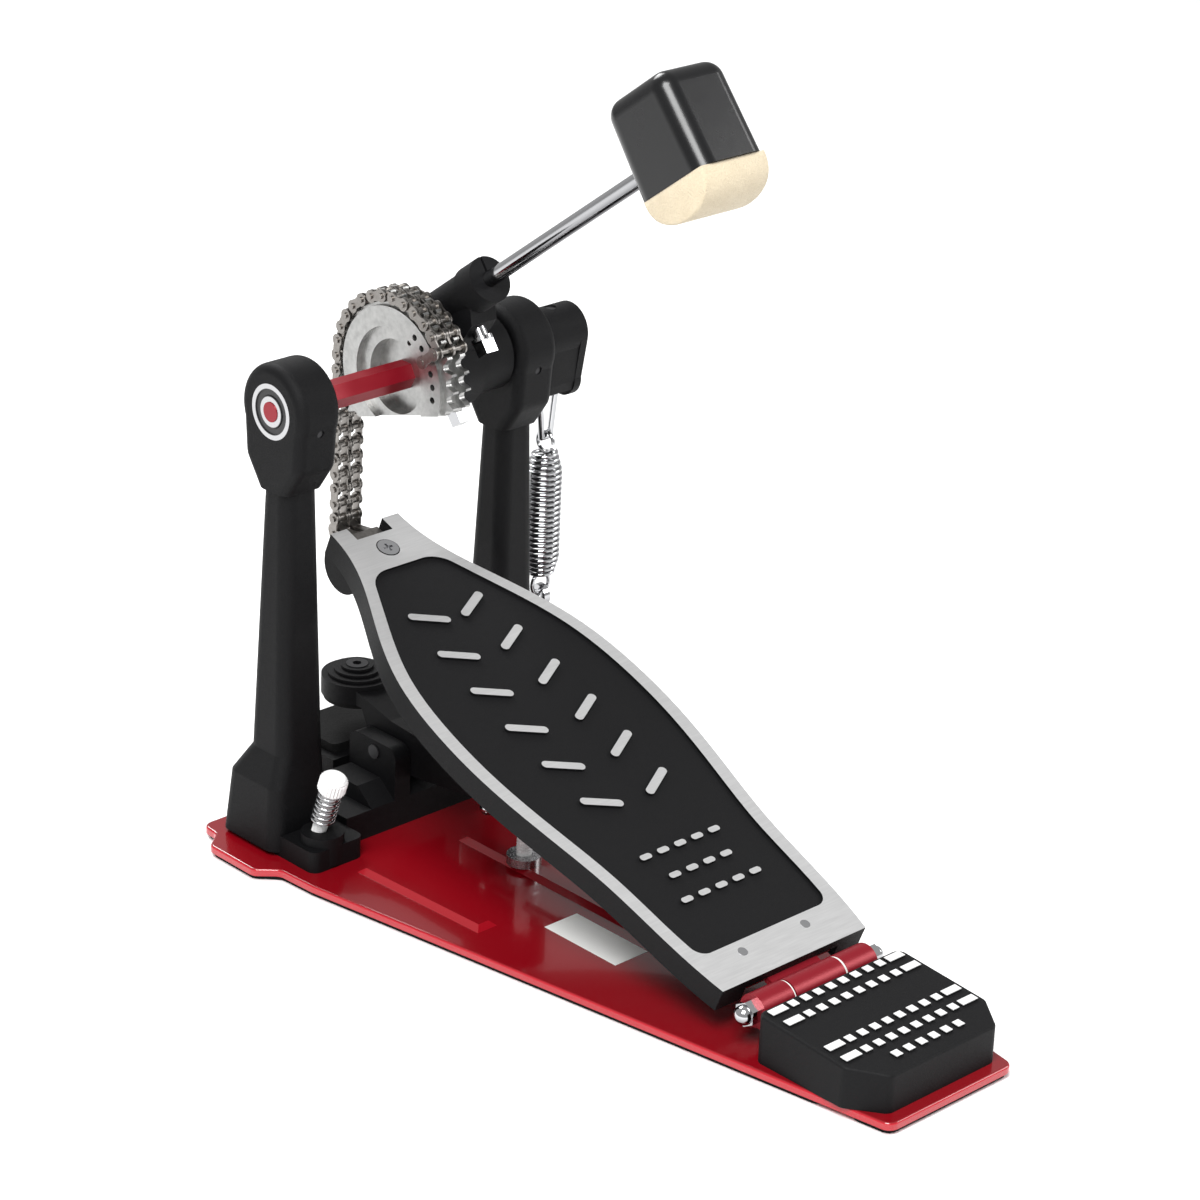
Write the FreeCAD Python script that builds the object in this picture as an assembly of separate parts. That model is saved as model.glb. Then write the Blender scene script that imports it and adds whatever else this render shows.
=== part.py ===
import FreeCAD, Part
import math
import os

V = FreeCAD.Vector

# ---------------------------------------------------------------------------
# Driving dimensions, in millimetres.
# X points to the player's right, Y towards the drum and Z up from the floor.
# The origin is on the floor, straight below the middle of the drive shaft.
# ---------------------------------------------------------------------------
MAT = 2.0                       # rubber under the base plate
PLATE = 3.0                     # thickness of the steel base plate
DECK = MAT + PLATE              # top face of the base plate

SHAFT_Z = 188.0                 # height of the drive shaft's axis
HEX_FLATS = 10.0                # hexagonal shaft, across its flats
JOURNAL_R = 4.0                 # turned ends of the shaft, bearing bore
BEARING_R = 11.0                # outside of each ball bearing
BEARING_WIDTH = 7.0
POST_X = 56.0                   # centre of each upright from the middle plane
HEAD_R = 18.5                   # round head on each upright
HEAD_WIDTH = 20.0
RUN = 0.05                      # radial clearance of a running fit

PITCH = 6.35                    # quarter-inch roller chain, two strands
TEETH = 32                      # teeth the wheel would have all the way round
PIN_CIRCLE_R = PITCH / 2 / math.sin(math.pi / TEETH)
TOOTH_ANGLE = 360.0 / TEETH
STRAND_X = 3.2                  # middle of each strand from the middle plane
ROLLER_R = 1.65
CHAIN_PIN_R = 1.15
PLATE_R = 2.6                   # rounded ends of the chain's side plates
CHAIN_PLATE = 0.7
LOOSE_LINKS = 5                 # links that leave the wheel during a stroke
WRAPPED_PINS = 13               # number of the last pin on the wheel
HANGING_LINKS = 12              # links between the wheel and the footboard

ROD_LEAN = 52.6                 # beater rod leans back from upright, degrees
ROD_R = 3.175
ROD_OFFSET = 17.0               # rod's axis in front of the shaft's axis
ROD_X = 18.0
ROD_START = 2.0                 # ends of the rod, measured along it
ROD_END = 186.0
HUB_MOUTH = 47.0                # top of the hub's socket, along the rod
HEAD_START = 158.0              # beater head, along the rod
HEAD_END = 197.0
HEAD_HALF_WIDTH = 16.5          # along X

HINGE_Y = -232.0                # heel hinge
HINGE_Z = 18.5
HINGE_R = 6.5
HINGE_PIN_R = 2.5
KNUCKLE_GAP = 0.4               # between the hinge's knuckles
MID_KNUCKLE = 13.0              # half length of the middle knuckle
HINGE_HALF = 30.0

HEEL_EDGE_Y = -224.1            # top rear edge of the footboard
HEEL_EDGE_Z = 25.8
BOARD_SLOPE = 20.72             # degrees, at rest
BOARD_LENGTH = 262.0
BOARD_DEPTH = 10.0              # height of the footboard's skirt
BOARD_SKIN = 4.0
BOARD_WALL = 3.5
RECESS = 1.2                    # depth of the sunk field in the tread
RIM = 6.0                       # width of the rim around the sunk field
# half widths of the footboard, from the heel edge to the toe edge
BOARD_OUTLINE = [(0.0, 38.0), (30.0, 41.2), (62.0, 43.0), (92.0, 47.5), (123.0, 51.5),
                 (150.0, 51.8), (182.0, 47.0), (211.0, 35.0), (237.0, 22.5), (262.0, 17.6)]

SPRING_X = 78.0                 # plane of the return spring
ROCKER_ARM = 20.0               # shaft's axis to the rocker's pin
SPRING_TOP = 138.0              # top coil
SPRING_FOOT = 82.0              # lowest coil
SPRING_R = 7.6
WIRE_R = 0.9
EYE_Z = 72.0                    # centre of the eye bolt's eye

HEEL_FRONT = -241.0             # heel block
HEEL_BACK = -298.0
HEEL_HALF = 38.0
HEEL_TOP_FRONT = 24.5
HEEL_TOP_BACK = 20.5

CLAMP_PIVOT = (-8.0, 34.0)      # Y and Z of the hoop clamp's pivot
CLAMP_SCREW_Y = -78.0
JAW_Y = 24.0
JAW_R = 14.5
JAW_TOP = 56.0
HOOP_PAD_TOP = 29.0

SPUR_HEAD = (-31.0, 44.0)       # Y and Z of a spur's head
SPUR_FOOT = (-18.6, 8.0)        # Y and Z of its point
SPUR_X = 58.0

os.makedirs("parts", exist_ok=True)


# ---------------------------------------------------------------------------
# Helpers
# ---------------------------------------------------------------------------
def box(x0, x1, y0, y1, z0, z1):
    return Part.makeBox(x1 - x0, y1 - y0, z1 - z0, V(x0, y0, z0))


def rod(start, end, radius):
    """A round bar between two points."""
    start, end = V(*start), V(*end)
    return Part.makeCylinder(radius, (end - start).Length, start, end - start)


def bar_x(y, z, x0, x1, radius):
    """A round bar along X."""
    return rod((x0, y, z), (x1, y, z), radius)


def face_of(points):
    return Part.Face(Part.makePolygon(points + [points[0]]))


def slab_x(outline, x0, x1):
    """An outline of (y, z) points, extruded along X."""
    return face_of([V(x0, y, z) for y, z in outline]).extrude(V(x1 - x0, 0, 0))


def slab_z(outline, z0, z1):
    """An outline of (x, y) points, extruded along Z."""
    return face_of([V(x, y, z0) for x, y in outline]).extrude(V(0, 0, z1 - z0))


def round_edges(shape, radius, wanted):
    """Round the edges that the given test picks out."""
    return shape.makeFillet(radius, [edge for edge in shape.Edges if wanted(edge)])


def upright_edge(edge):
    first, last = edge.Vertexes[0].Point, edge.Vertexes[-1].Point
    return abs(first.x - last.x) < 0.01 and abs(first.y - last.y) < 0.01


def edge_along_x(edge):
    first, last = edge.Vertexes[0].Point, edge.Vertexes[-1].Point
    return abs(first.y - last.y) < 0.01 and abs(first.z - last.z) < 0.01


def mirror_x(shape):
    return shape.mirror(V(0, 0, 0), V(1, 0, 0))


def join(shapes):
    whole = shapes[0].multiFuse(shapes[1:]) if len(shapes) > 1 else shapes[0]
    return whole.removeSplitter()


def group(shapes):
    return Part.makeCompound(shapes)


def save(name, shape):
    shape.exportStep("parts/" + name + ".step")


# ---------------------------------------------------------------------------
# Base: rubber mats, plate, uprights and the bridge between them
# ---------------------------------------------------------------------------
PLATE_FRONT = 30.0
PLATE_BACK = -303.5
PLATE_HALF_FRONT = 75.0
PLATE_HALF_BACK = 33.0
TAPER_START = -38.0             # the plate narrows from here to the heel
EAR_HALF = 84.0                 # rounded ears beside the uprights
MAT_SPLIT = (-272.0, -285.0)    # gap between the long mat and the heel mat


def plate_half(y):
    """Half width of the base plate at a distance along it."""
    share = (TAPER_START - y) / (TAPER_START - PLATE_BACK)
    return PLATE_HALF_FRONT + (PLATE_HALF_BACK - PLATE_HALF_FRONT) * max(0.0, share)


def plate_outline(inset, front, back):
    """Right half of the plate's outline, then its left half."""
    ear_front, ear_back, neck = 14.0, -13.0, PLATE_HALF_FRONT + 1.0
    right = [(plate_half(back) - inset, back), (PLATE_HALF_FRONT - inset, TAPER_START), (neck - inset, ear_back - 7.0)]
    right += [(EAR_HALF - inset, ear_back + inset), (EAR_HALF - inset, ear_front - inset)]
    right += [(neck - inset, ear_front + 6.0), (PLATE_HALF_FRONT - inset, front)]
    return right + [(-x, y) for x, y in reversed(right)]


def make_base_plate():
    corner, edge_round, ridge_height = 4.5, 1.0, 2.0
    plate = slab_z(plate_outline(0.0, PLATE_FRONT, PLATE_BACK), MAT, DECK)
    plate = round_edges(plate, corner, upright_edge)
    plate = round_edges(plate, edge_round, lambda e: e.BoundBox.ZMin > DECK - 0.01)
    ridges = [(0.0, -45.0, 0.0, -178.0, 6.0), (49.0, -40.0, 46.0, -108.0, 5.5), (-49.0, -40.0, -46.0, -108.0, 5.5)]
    for x0, y0, x1, y1, half in ridges:
        plate = plate.fuse(make_ridge(x0, y0, x1, y1, half, ridge_height))
    for side in (-1, 1):
        plate = plate.cut(spur_bar(-20.0, 60.0, SPUR_HOLE_R, side * SPUR_X))
    save("base_plate", plate.removeSplitter())


def make_ridge(x0, y0, x1, y1, half, height):
    """A pressed ridge: a flat-topped bar with sloping sides and ends."""
    slope = 3.0
    loops = []
    for level, inset in ((DECK - 0.5, 0.0), (DECK + height, slope)):
        corners = [(x0 - half + inset, y0 - inset), (x0 + half - inset, y0 - inset),
                   (x1 + half - inset, y1 + inset), (x1 - half + inset, y1 + inset)]
        points = [V(x, y, level) for x, y in corners]
        loops.append(Part.makePolygon(points + [points[0]]))
    return Part.makeLoft(loops, True)


def make_mats():
    inset = 1.5
    main = slab_z(plate_outline(inset, PLATE_FRONT - inset, MAT_SPLIT[0]), 0.0, MAT)
    heel_front, heel_back = MAT_SPLIT[1], PLATE_BACK + inset
    corners = [(-plate_half(heel_front) + inset, heel_front), (plate_half(heel_front) - inset, heel_front),
               (plate_half(heel_back) - inset, heel_back), (-plate_half(heel_back) + inset, heel_back)]
    heel = slab_z(corners, 0.0, MAT)
    corner = 3.5
    main, heel = round_edges(main, corner, upright_edge), round_edges(heel, corner, upright_edge)
    for side in (-1, 1):
        main = main.cut(spur_bar(-20.0, 60.0, SPUR_HOLE_R, side * SPUR_X))
    save("rubber_mats", group([main, heel]))


def rounded_section(half_x, half_y, y, z, corner, x=-POST_X):
    """A horizontal rounded rectangle as a wire, for a loft."""
    block = box(x - half_x, x + half_x, y - half_y, y + half_y, z, z + 1.0)
    block = round_edges(block, corner, upright_edge)
    lowest = [f for f in block.Faces if abs(f.CenterOfMass.z - z) < 0.01]
    return lowest[0].OuterWire


def make_head():
    """Teardrop head of an upright, with the seat for its ball bearing."""
    tail_z, tail_half, hip_z, hip = 155.5, 8.6, 166.5, 16.2
    disc = bar_x(0, SHAFT_Z, -POST_X - HEAD_WIDTH / 2, -POST_X + HEAD_WIDTH / 2, HEAD_R)
    touch = math.radians(-20.0)
    side = HEAD_R * math.cos(touch)
    drop = SHAFT_Z + HEAD_R * math.sin(touch)
    tail = slab_x([(-side, drop), (side, drop), (hip, hip_z), (tail_half, tail_z), (-tail_half, tail_z), (-hip, hip_z)],
                  -POST_X - HEAD_WIDTH / 2, -POST_X + HEAD_WIDTH / 2)
    tail = round_edges(tail, 8.0, lambda e: edge_along_x(e) and abs(e.BoundBox.ZMin - hip_z) < 0.1)
    head = join([disc, tail])
    side_round = 4.0
    outer, inner = -POST_X - HEAD_WIDTH / 2, -POST_X + HEAD_WIDTH / 2
    at_side = lambda e: e.BoundBox.XLength < 0.01 and e.BoundBox.ZMax > tail_z + 0.5
    return head.makeFillet(side_round, [e for e in head.Edges if at_side(e)]), outer, inner


SPUR_HOLE_R = 3.4


def make_upright():
    """Left upright: one casting of foot, column, head and spur boss."""
    head, outer, inner = make_head()
    foot_z = 14.0
    sections = [rounded_section(14.3, 17.0, 5.0, DECK + 2.0, 5.5, -POST_X - 2.2),
                rounded_section(13.2, 15.5, 4.2, 33.0, 5.5, -POST_X - 1.7),
                rounded_section(11.0, 11.0, 0.5, 46.0, 5.5), rounded_section(8.3, 7.8, 0.0, 160.0, 5.5)]
    ruled = True
    column = Part.makeLoft(sections, True, ruled)
    foot = box(-POST_X - 13.0, -POST_X + 13.0, -32.0, 24.0, DECK, foot_z)
    foot = round_edges(foot, 4.0, upright_edge)
    boss = rod((-SPUR_X, -24.0, DECK + 1.0), (-SPUR_X, -24.0, 18.0), 8.6)
    upright = join([head, column, foot, boss])
    seat = bar_x(0, SHAFT_Z, outer - 1.0, outer + BEARING_WIDTH, BEARING_R)
    passage = bar_x(0, SHAFT_Z, outer, inner + 1.0, 8.0)
    set_screw = rod((-POST_X, -HEAD_R - 1.0, SHAFT_Z - 6.0), (-POST_X, -HEAD_R + 6.0, SHAFT_Z - 6.0), 1.6)
    spur_hole = spur_bar(-20.0, 60.0, SPUR_HOLE_R, -SPUR_X)
    spring_well = spur_bar(14.2, 60.0, 5.3, -SPUR_X)
    cap_well = spur_bar(23.6, 60.0, 6.1, -SPUR_X)
    for tool in (seat, passage, set_screw, spur_hole, spring_well, cap_well):
        upright = upright.cut(tool)
    return upright


def make_uprights():
    """Two castings; the right one also carries the lug for the eye bolt."""
    left = make_upright()
    save("left_upright", left)
    lug_low, lug_high = 44.0, 52.0
    lug = box(POST_X + 4.0, SPRING_X + 7.0, -7.0, 7.0, lug_low, lug_high)
    lug = round_edges(lug, 4.0, lambda e: upright_edge(e) and e.BoundBox.XMin > SPRING_X)
    right = join([mirror_x(left), lug])
    eye_hole = rod((SPRING_X, 0, lug_low - 5.0), (SPRING_X, 0, lug_high + 5.0), 3.1)
    save("right_upright", right.cut(eye_hole))


def make_bridge():
    """Casting between the feet: bar, ledge for the drum hoop, clevis for the clamp."""
    inner = POST_X - 13.0
    bar = box(-inner, inner, -21.0, 12.0, DECK, 17.0)
    rib = slab_x([(-21.0, 17.0), (12.0, 17.0), (6.0, 24.0), (-12.0, 24.0)], -30.0, 30.0)
    ledge = box(-24.0, 24.0, 10.0, 44.0, DECK, HOOP_PAD_TOP - 4.0)
    ledge = round_edges(ledge, 5.0, lambda e: upright_edge(e) and e.BoundBox.YMin > 20.0)
    bridge = join([bar, rib, ledge])
    pivot_y, pivot_z = CLAMP_PIVOT
    for side in (-1, 1):
        x0, x1 = sorted((side * 10.0, side * 18.0))
        cheek = box(x0, x1, pivot_y - 13.0, pivot_y + 15.0, 16.0, pivot_z + 5.0)
        cheek = round_edges(cheek, 5.0, lambda e: edge_along_x(e) and e.BoundBox.ZMin > pivot_z)
        bridge = bridge.fuse(cheek)
    slot = box(-10.0, 10.0, pivot_y - 14.0, pivot_y + 17.0, 21.0, pivot_z + 10.0)
    hole = bar_x(pivot_y, pivot_z, -19.0, 19.0, 3.0)
    bridge = bridge.cut(slot).cut(hole).removeSplitter()
    save("cross_bridge", bridge)
    save("clamp_pivot_pin", bar_x(pivot_y, pivot_z, -18.5, 18.5, 3.0 - RUN))
    pad = box(-20.0, 20.0, 14.0, 43.0, HOOP_PAD_TOP - 4.0, HOOP_PAD_TOP)
    save("hoop_rest_pad", round_edges(pad, 3.0, upright_edge))


def make_base_screws():
    """Countersunk screws that come up through the plate into the castings."""
    head_r, shank_r, head_depth = 4.4, 2.4, 2.0
    places = [(-48.5, -14.0), (-POST_X, 12.0), (48.5, -14.0), (POST_X, 12.0), (-34.0, 0.0), (34.0, 0.0)]
    screws = []
    for x, y in places:
        cone = Part.makeCone(head_r, shank_r, head_depth, V(x, y, MAT), V(0, 0, 1))
        shank = rod((x, y, MAT + head_depth - 0.01), (x, y, DECK + 7.0), shank_r)
        screws.append(join([cone, shank]))
    return screws


def cut_base_screws():
    """Make the countersunk holes in the plate and the castings above it."""
    screws = make_base_screws()
    save("base_screws", group(screws))
    for name in ("base_plate", "left_upright", "right_upright", "cross_bridge"):
        shape = Part.read("parts/" + name + ".step")
        for screw in screws:
            if shape.BoundBox.intersect(screw.BoundBox):
                shape = shape.cut(screw)
        save(name, shape)


# ---------------------------------------------------------------------------
# Spurs and their springs
# ---------------------------------------------------------------------------
def spur_point(distance, x):
    """A point on a spur's axis, measured up from its tip."""
    run = V(0, SPUR_HEAD[0] - SPUR_FOOT[0], SPUR_HEAD[1] - SPUR_FOOT[1])
    run.normalize()
    return V(x, SPUR_FOOT[0], SPUR_FOOT[1]) + run * distance


def spur_bar(low, high, radius, x):
    return rod(spur_point(low, x), spur_point(high, x), radius)


def make_spurs():
    length = math.hypot(SPUR_HEAD[0] - SPUR_FOOT[0], SPUR_HEAD[1] - SPUR_FOOT[1])
    head_low, tip = length - 7.0, 5.0
    for side, name in ((-1, "left"), (1, "right")):
        x = side * SPUR_X
        axis = spur_point(1.0, x) - spur_point(0.0, x)
        point = Part.makeCone(0.5, 3.0, tip, spur_point(0.0, x), axis)
        shank = spur_bar(tip - 0.01, head_low + 1.0, 3.0, x)
        cap = spur_bar(head_low, length, 5.6, x)
        cap = round_edges(cap, 0.7, lambda e: e.Curve.TypeId == "Part::GeomCircle")
        save(name + "_spur", join([point, shank, cap]))
        tube = spur_bar(14.5, head_low - 0.3, 5.0, x).cut(spur_bar(14.0, head_low, 3.6, x))
        save(name + "_spur_spring", tube)


# ---------------------------------------------------------------------------
# Drive shaft, ball bearings and chain wheel
# ---------------------------------------------------------------------------
def make_shaft():
    outer = POST_X + HEAD_WIDTH / 2
    seat = outer - BEARING_WIDTH
    corner_r = HEX_FLATS / 2 / math.cos(math.radians(30.0))
    hexagon = [(corner_r * math.cos(math.radians(60 * k)), SHAFT_Z + corner_r * math.sin(math.radians(60 * k)))
               for k in range(6)]
    bar = slab_x(hexagon, -seat, seat)
    journal = bar_x(0, SHAFT_Z, -outer - 0.3, 89.0, JOURNAL_R - RUN)
    shaft = join([bar, journal])
    save("hex_shaft", shaft)


def make_bearings():
    """Each bearing: outer ring with a shield, inner ring and a set of balls."""
    outer_face = POST_X + HEAD_WIDTH / 2
    rings, inner_rings, balls = [], [], []
    mid_r, ball_r, inner_r = 7.6, 1.9, 6.4
    for side in (-1, 1):
        x0, x1 = sorted((side * outer_face, side * (outer_face - BEARING_WIDTH)))
        middle = (x0 + x1) / 2
        groove = Part.makeTorus(mid_r, ball_r + 0.05, V(middle, 0, SHAFT_Z), V(1, 0, 0))
        ring = bar_x(0, SHAFT_Z, x0, x1, BEARING_R).cut(bar_x(0, SHAFT_Z, x0 - 1, x1 + 1, 8.8))
        rings.append(ring.cut(groove))
        for face in (x0 + 0.4, x1 - 1.0):
            shield = bar_x(0, SHAFT_Z, face, face + 0.6, 8.8).cut(bar_x(0, SHAFT_Z, face - 1, face + 2, inner_r + 0.2))
            rings.append(shield)
        core = bar_x(0, SHAFT_Z, x0, x1, inner_r).cut(bar_x(0, SHAFT_Z, x0 - 1, x1 + 1, JOURNAL_R))
        inner_rings.append(core.cut(groove))
        for k in range(7):
            angle = math.radians(360.0 / 7 * k)
            spot = V(middle, mid_r * math.cos(angle), SHAFT_Z + mid_r * math.sin(angle))
            balls.append(Part.makeSphere(ball_r, spot))
    save("bearing_outer_rings", group(rings))
    save("bearing_inner_rings", group(inner_rings))
    save("bearing_balls", group(balls))
    screws = []
    for side in (-1, 1):
        x = side * POST_X
        screws.append(rod((x, -HEAD_R + 1.6, SHAFT_Z - 6.0), (x, -HEAD_R + 6.0, SHAFT_Z - 6.0), 1.6))
    save("bearing_set_screws", group(screws))


def wheel_point(angle, radius, x=0.0):
    turn = math.radians(angle)
    return V(x, radius * math.cos(turn), SHAFT_Z + radius * math.sin(turn))


def tooth_row(x):
    """Toothed disc whose rounded gullets hold the chain's rollers."""
    half, tip_r = 1.3, PIN_CIRCLE_R + 2.2
    disc = bar_x(0, SHAFT_Z, x - half, x + half, tip_r)
    gullets = []
    for k in range(TEETH):
        seat = wheel_point(k * TOOTH_ANGLE, PIN_CIRCLE_R, x - half - 1)
        tool = Part.makeCylinder(ROLLER_R + 0.15, 2 * half + 2, seat, V(1, 0, 0))
        mouth = 4.0
        lean = math.radians(k * TOOTH_ANGLE)
        out = V(0, math.cos(lean), math.sin(lean))
        across = V(0, -math.sin(lean), math.cos(lean))
        narrow, wide = ROLLER_R + 0.15, 4.0
        corners = [seat + across * narrow, seat - across * narrow,
                   seat + out * mouth - across * wide, seat + out * mouth + across * wide]
        gullets += [tool, face_of(corners).extrude(V(2 * half + 2, 0, 0))]
    return disc.cut(join(gullets))


HOLE_CIRCLE_R = 24.2
HOLE_START = 123.0
HOLE_STEP = 12.4


def make_chain_wheel():
    rim_r, body_half = 28.6, 6.0
    body = bar_x(0, SHAFT_Z, -body_half, body_half, rim_r)
    wheel = join([body, tooth_row(-STRAND_X), tooth_row(STRAND_X)])
    below = 16.1
    chord = [(-60.0, SHAFT_Z - below + 60.0 * 0.304), (60.0, SHAFT_Z - below - 60.0 * 0.304),
             (60.0, SHAFT_Z - 80.0), (-60.0, SHAFT_Z - 80.0)]
    wheel = wheel.cut(slab_x(chord, -20.0, 20.0))
    wheel = wheel.cut(bar_x(0, SHAFT_Z, -body_half - 1, -body_half + 2.4, 20.5))
    wheel = wheel.cut(bar_x(0, SHAFT_Z, -body_half - 1, 1.6, 15.0))
    for k in range(6):
        spot = wheel_point(HOLE_START + k * HOLE_STEP, HOLE_CIRCLE_R)
        wheel = wheel.cut(bar_x(spot.y, spot.z, -20.0, 20.0, 1.3))
    mark = wheel_point(115.0, 17.6)
    wheel = wheel.cut(bar_x(mark.y, mark.z, -10.0, -1.0, 1.1))
    hexagon = HEX_FLATS / 2 / math.cos(math.radians(30.0))
    bore = [(hexagon * math.cos(math.radians(60 * k)), SHAFT_Z + hexagon * math.sin(math.radians(60 * k)))
            for k in range(6)]
    save("chain_wheel", wheel.cut(slab_x(bore, -20.0, 20.0)).removeSplitter())


# ---------------------------------------------------------------------------
# Roller chain
# ---------------------------------------------------------------------------
def side_plate(a, b, x0, x1):
    """A chain plate between two pins: two round ends and a slimmer waist."""
    run = b - a
    run.normalize()
    across = V(1, 0, 0).cross(run) * (PLATE_R * 0.72)
    corners = [a + across, b + across, b - across, a - across]
    waist = face_of([V(x0, p.y, p.z) for p in corners]).extrude(V(x1 - x0, 0, 0))
    ends = [bar_x(p.y, p.z, x0, x1, PLATE_R) for p in (a, b)]
    return join(ends + [waist])


def outer_link(a, b):
    """Pin link: two outside plates and one between the strands, on two pins."""
    edge = 2 * STRAND_X
    plates = [side_plate(a, b, -edge - 0.1, -edge + CHAIN_PLATE - 0.1),
              side_plate(a, b, -CHAIN_PLATE / 2 - 0.2, CHAIN_PLATE / 2 + 0.2),
              side_plate(a, b, edge - CHAIN_PLATE + 0.1, edge + 0.1)]
    pins = [bar_x(p.y, p.z, -edge - 0.8, edge + 0.8, CHAIN_PIN_R) for p in (a, b)]
    return [join(plates + pins)]


def inner_link(a, b):
    """Roller link: in each strand two plates joined by two rollers."""
    pieces = []
    half = 1.65
    for x in (-STRAND_X, STRAND_X):
        plates = [side_plate(a, b, x - half - CHAIN_PLATE, x - half), side_plate(a, b, x + half, x + half + CHAIN_PLATE)]
        rollers = [bar_x(p.y, p.z, x - half, x + half, ROLLER_R) for p in (a, b)]
        strand = join(plates + rollers)
        for p in (a, b):
            strand = strand.cut(bar_x(p.y, p.z, x - 4, x + 4, CHAIN_PIN_R + RUN))
        pieces.append(strand)
    return pieces


def make_chain():
    """Links are numbered from the wheel's tangent point up and over the wheel."""
    seat = [wheel_point(k * TOOTH_ANGLE, PIN_CIRCLE_R) for k in range(WRAPPED_PINS + 1)]
    for k in range(LOOSE_LINKS):
        maker = outer_link if k % 2 == 0 else inner_link
        save("chain_link_%d" % (k + 1), group(maker(seat[k + 1], seat[k])))
    outers, inners = [], []
    for k in range(LOOSE_LINKS, WRAPPED_PINS):
        if k % 2 == 0:
            outers += outer_link(seat[k + 1], seat[k])
        else:
            inners += inner_link(seat[k + 1], seat[k])
    save("wrapped_pin_links", group(outers))
    save("wrapped_roller_links", group(inners))
    outers, inners = [], []
    top = seat[0]
    for k in range(HANGING_LINKS):
        a, b = top - V(0, 0, k * PITCH), top - V(0, 0, (k + 1) * PITCH)
        if k % 2 == 0:
            inners += inner_link(a, b)
        else:
            outers += outer_link(a, b)
    save("hanging_pin_links", group(outers))
    save("hanging_roller_links", group(inners))
    anchor = wheel_point(HOLE_START + 2 * HOLE_STEP, HOLE_CIRCLE_R)
    last = seat[WRAPPED_PINS]
    tie = side_plate(last, anchor, -8.9, -8.2)
    pins = [bar_x(last.y, last.z, -9.2, -7.25, CHAIN_PIN_R), bar_x(anchor.y, anchor.z, -9.2, 6.4, 1.25)]
    save("chain_anchor_link", join([tie] + pins))


# ---------------------------------------------------------------------------
# Beater hub, rod and head
# ---------------------------------------------------------------------------
LEAN = math.radians(ROD_LEAN)
ALONG = V(0, -math.sin(LEAN), math.cos(LEAN))       # up the rod
AHEAD = V(0, math.cos(LEAN), math.sin(LEAN))        # square to it, towards the drum


def rod_point(along, ahead, x=ROD_X):
    return V(x, 0, SHAFT_Z) + ALONG * along + AHEAD * ahead


def rod_bar(low, high, radius, ahead=ROD_OFFSET):
    return rod(rod_point(low, ahead), rod_point(high, ahead), radius)


def slab_rod(outline, x0, x1):
    """An outline of (along, ahead) points, extruded along X."""
    return face_of([rod_point(a, b, x0) for a, b in outline]).extrude(V(x1 - x0, 0, 0))


HUB_BOLT_ALONG = 31.0           # bolt that grips the rod
HUB_COLLAR_R = 18.0


def make_hub():
    x0, x1, sleeve_end = 8.5, 27.5, 44.5
    collar = bar_x(0, SHAFT_Z, x0, x1, HUB_COLLAR_R)
    sleeve = bar_x(0, SHAFT_Z, x1 - 1.0, sleeve_end, 15.5)
    socket = rod_bar(1.0, HUB_MOUTH, 8.4)
    lip = rod_bar(HUB_MOUTH - 9.0, HUB_MOUTH + 2.0, 9.4)
    web = slab_rod([(0.0, -8.0), (36.0, 4.0), (40.0, 12.0), (40.0, 22.0), (0.0, 22.0)], x0 + 3.0, x1 - 3.0)
    hub = join([collar, sleeve, socket, web, lip])
    hexagon = HEX_FLATS / 2 / math.cos(math.radians(30.0))
    bore = [(hexagon * math.cos(math.radians(60 * k)), SHAFT_Z + hexagon * math.sin(math.radians(60 * k)))
            for k in range(6)]
    hub = hub.cut(slab_x(bore, x0 - 1, sleeve_end + 1))
    hub = hub.cut(rod_bar(-20.0, HUB_MOUTH + 5.0, ROD_R + RUN))
    split = 1.0
    hub = hub.cut(slab_rod([(24.0, ROD_OFFSET + 2.0), (60.0, ROD_OFFSET + 2.0), (60.0, 40.0), (24.0, 40.0)],
                           ROD_X - split / 2, ROD_X + split / 2))
    for along, start in ((HUB_BOLT_ALONG, ROD_OFFSET - ROD_R), (0.0, -4.0)):
        hub = hub.cut(rod(rod_point(along, start), rod_point(along, -24.0), 3.0))
    save("beater_hub", hub)


def key_bolt(start, end, head_length):
    """A drum-key bolt: round shank and square head."""
    start, end = V(*start), V(*end)
    axis = end - start
    axis.normalize()
    shank = rod(start, end, 3.0)
    half = 2.9
    side = V(1, 0, 0)
    other = axis.cross(side)
    corners = [end + side * half + other * half, end - side * half + other * half,
               end - side * half - other * half, end + side * half - other * half]
    head = face_of(corners).extrude(axis * head_length)
    collar = rod(end, end + axis * 1.5, 4.4)
    return join([shank, head, collar])


def make_key_bolts():
    grip = ROD_OFFSET - ROD_R - 0.4
    hub_bolt = key_bolt(rod_point(HUB_BOLT_ALONG, grip), rod_point(HUB_BOLT_ALONG, -0.5), 7.0)
    collar_bolt = key_bolt(rod_point(0.0, -HEX_FLATS / 2 - 1.0), rod_point(0.0, -HUB_COLLAR_R - 0.1), 7.0)
    save("hub_key_bolts", group([hub_bolt, collar_bolt]))


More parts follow.
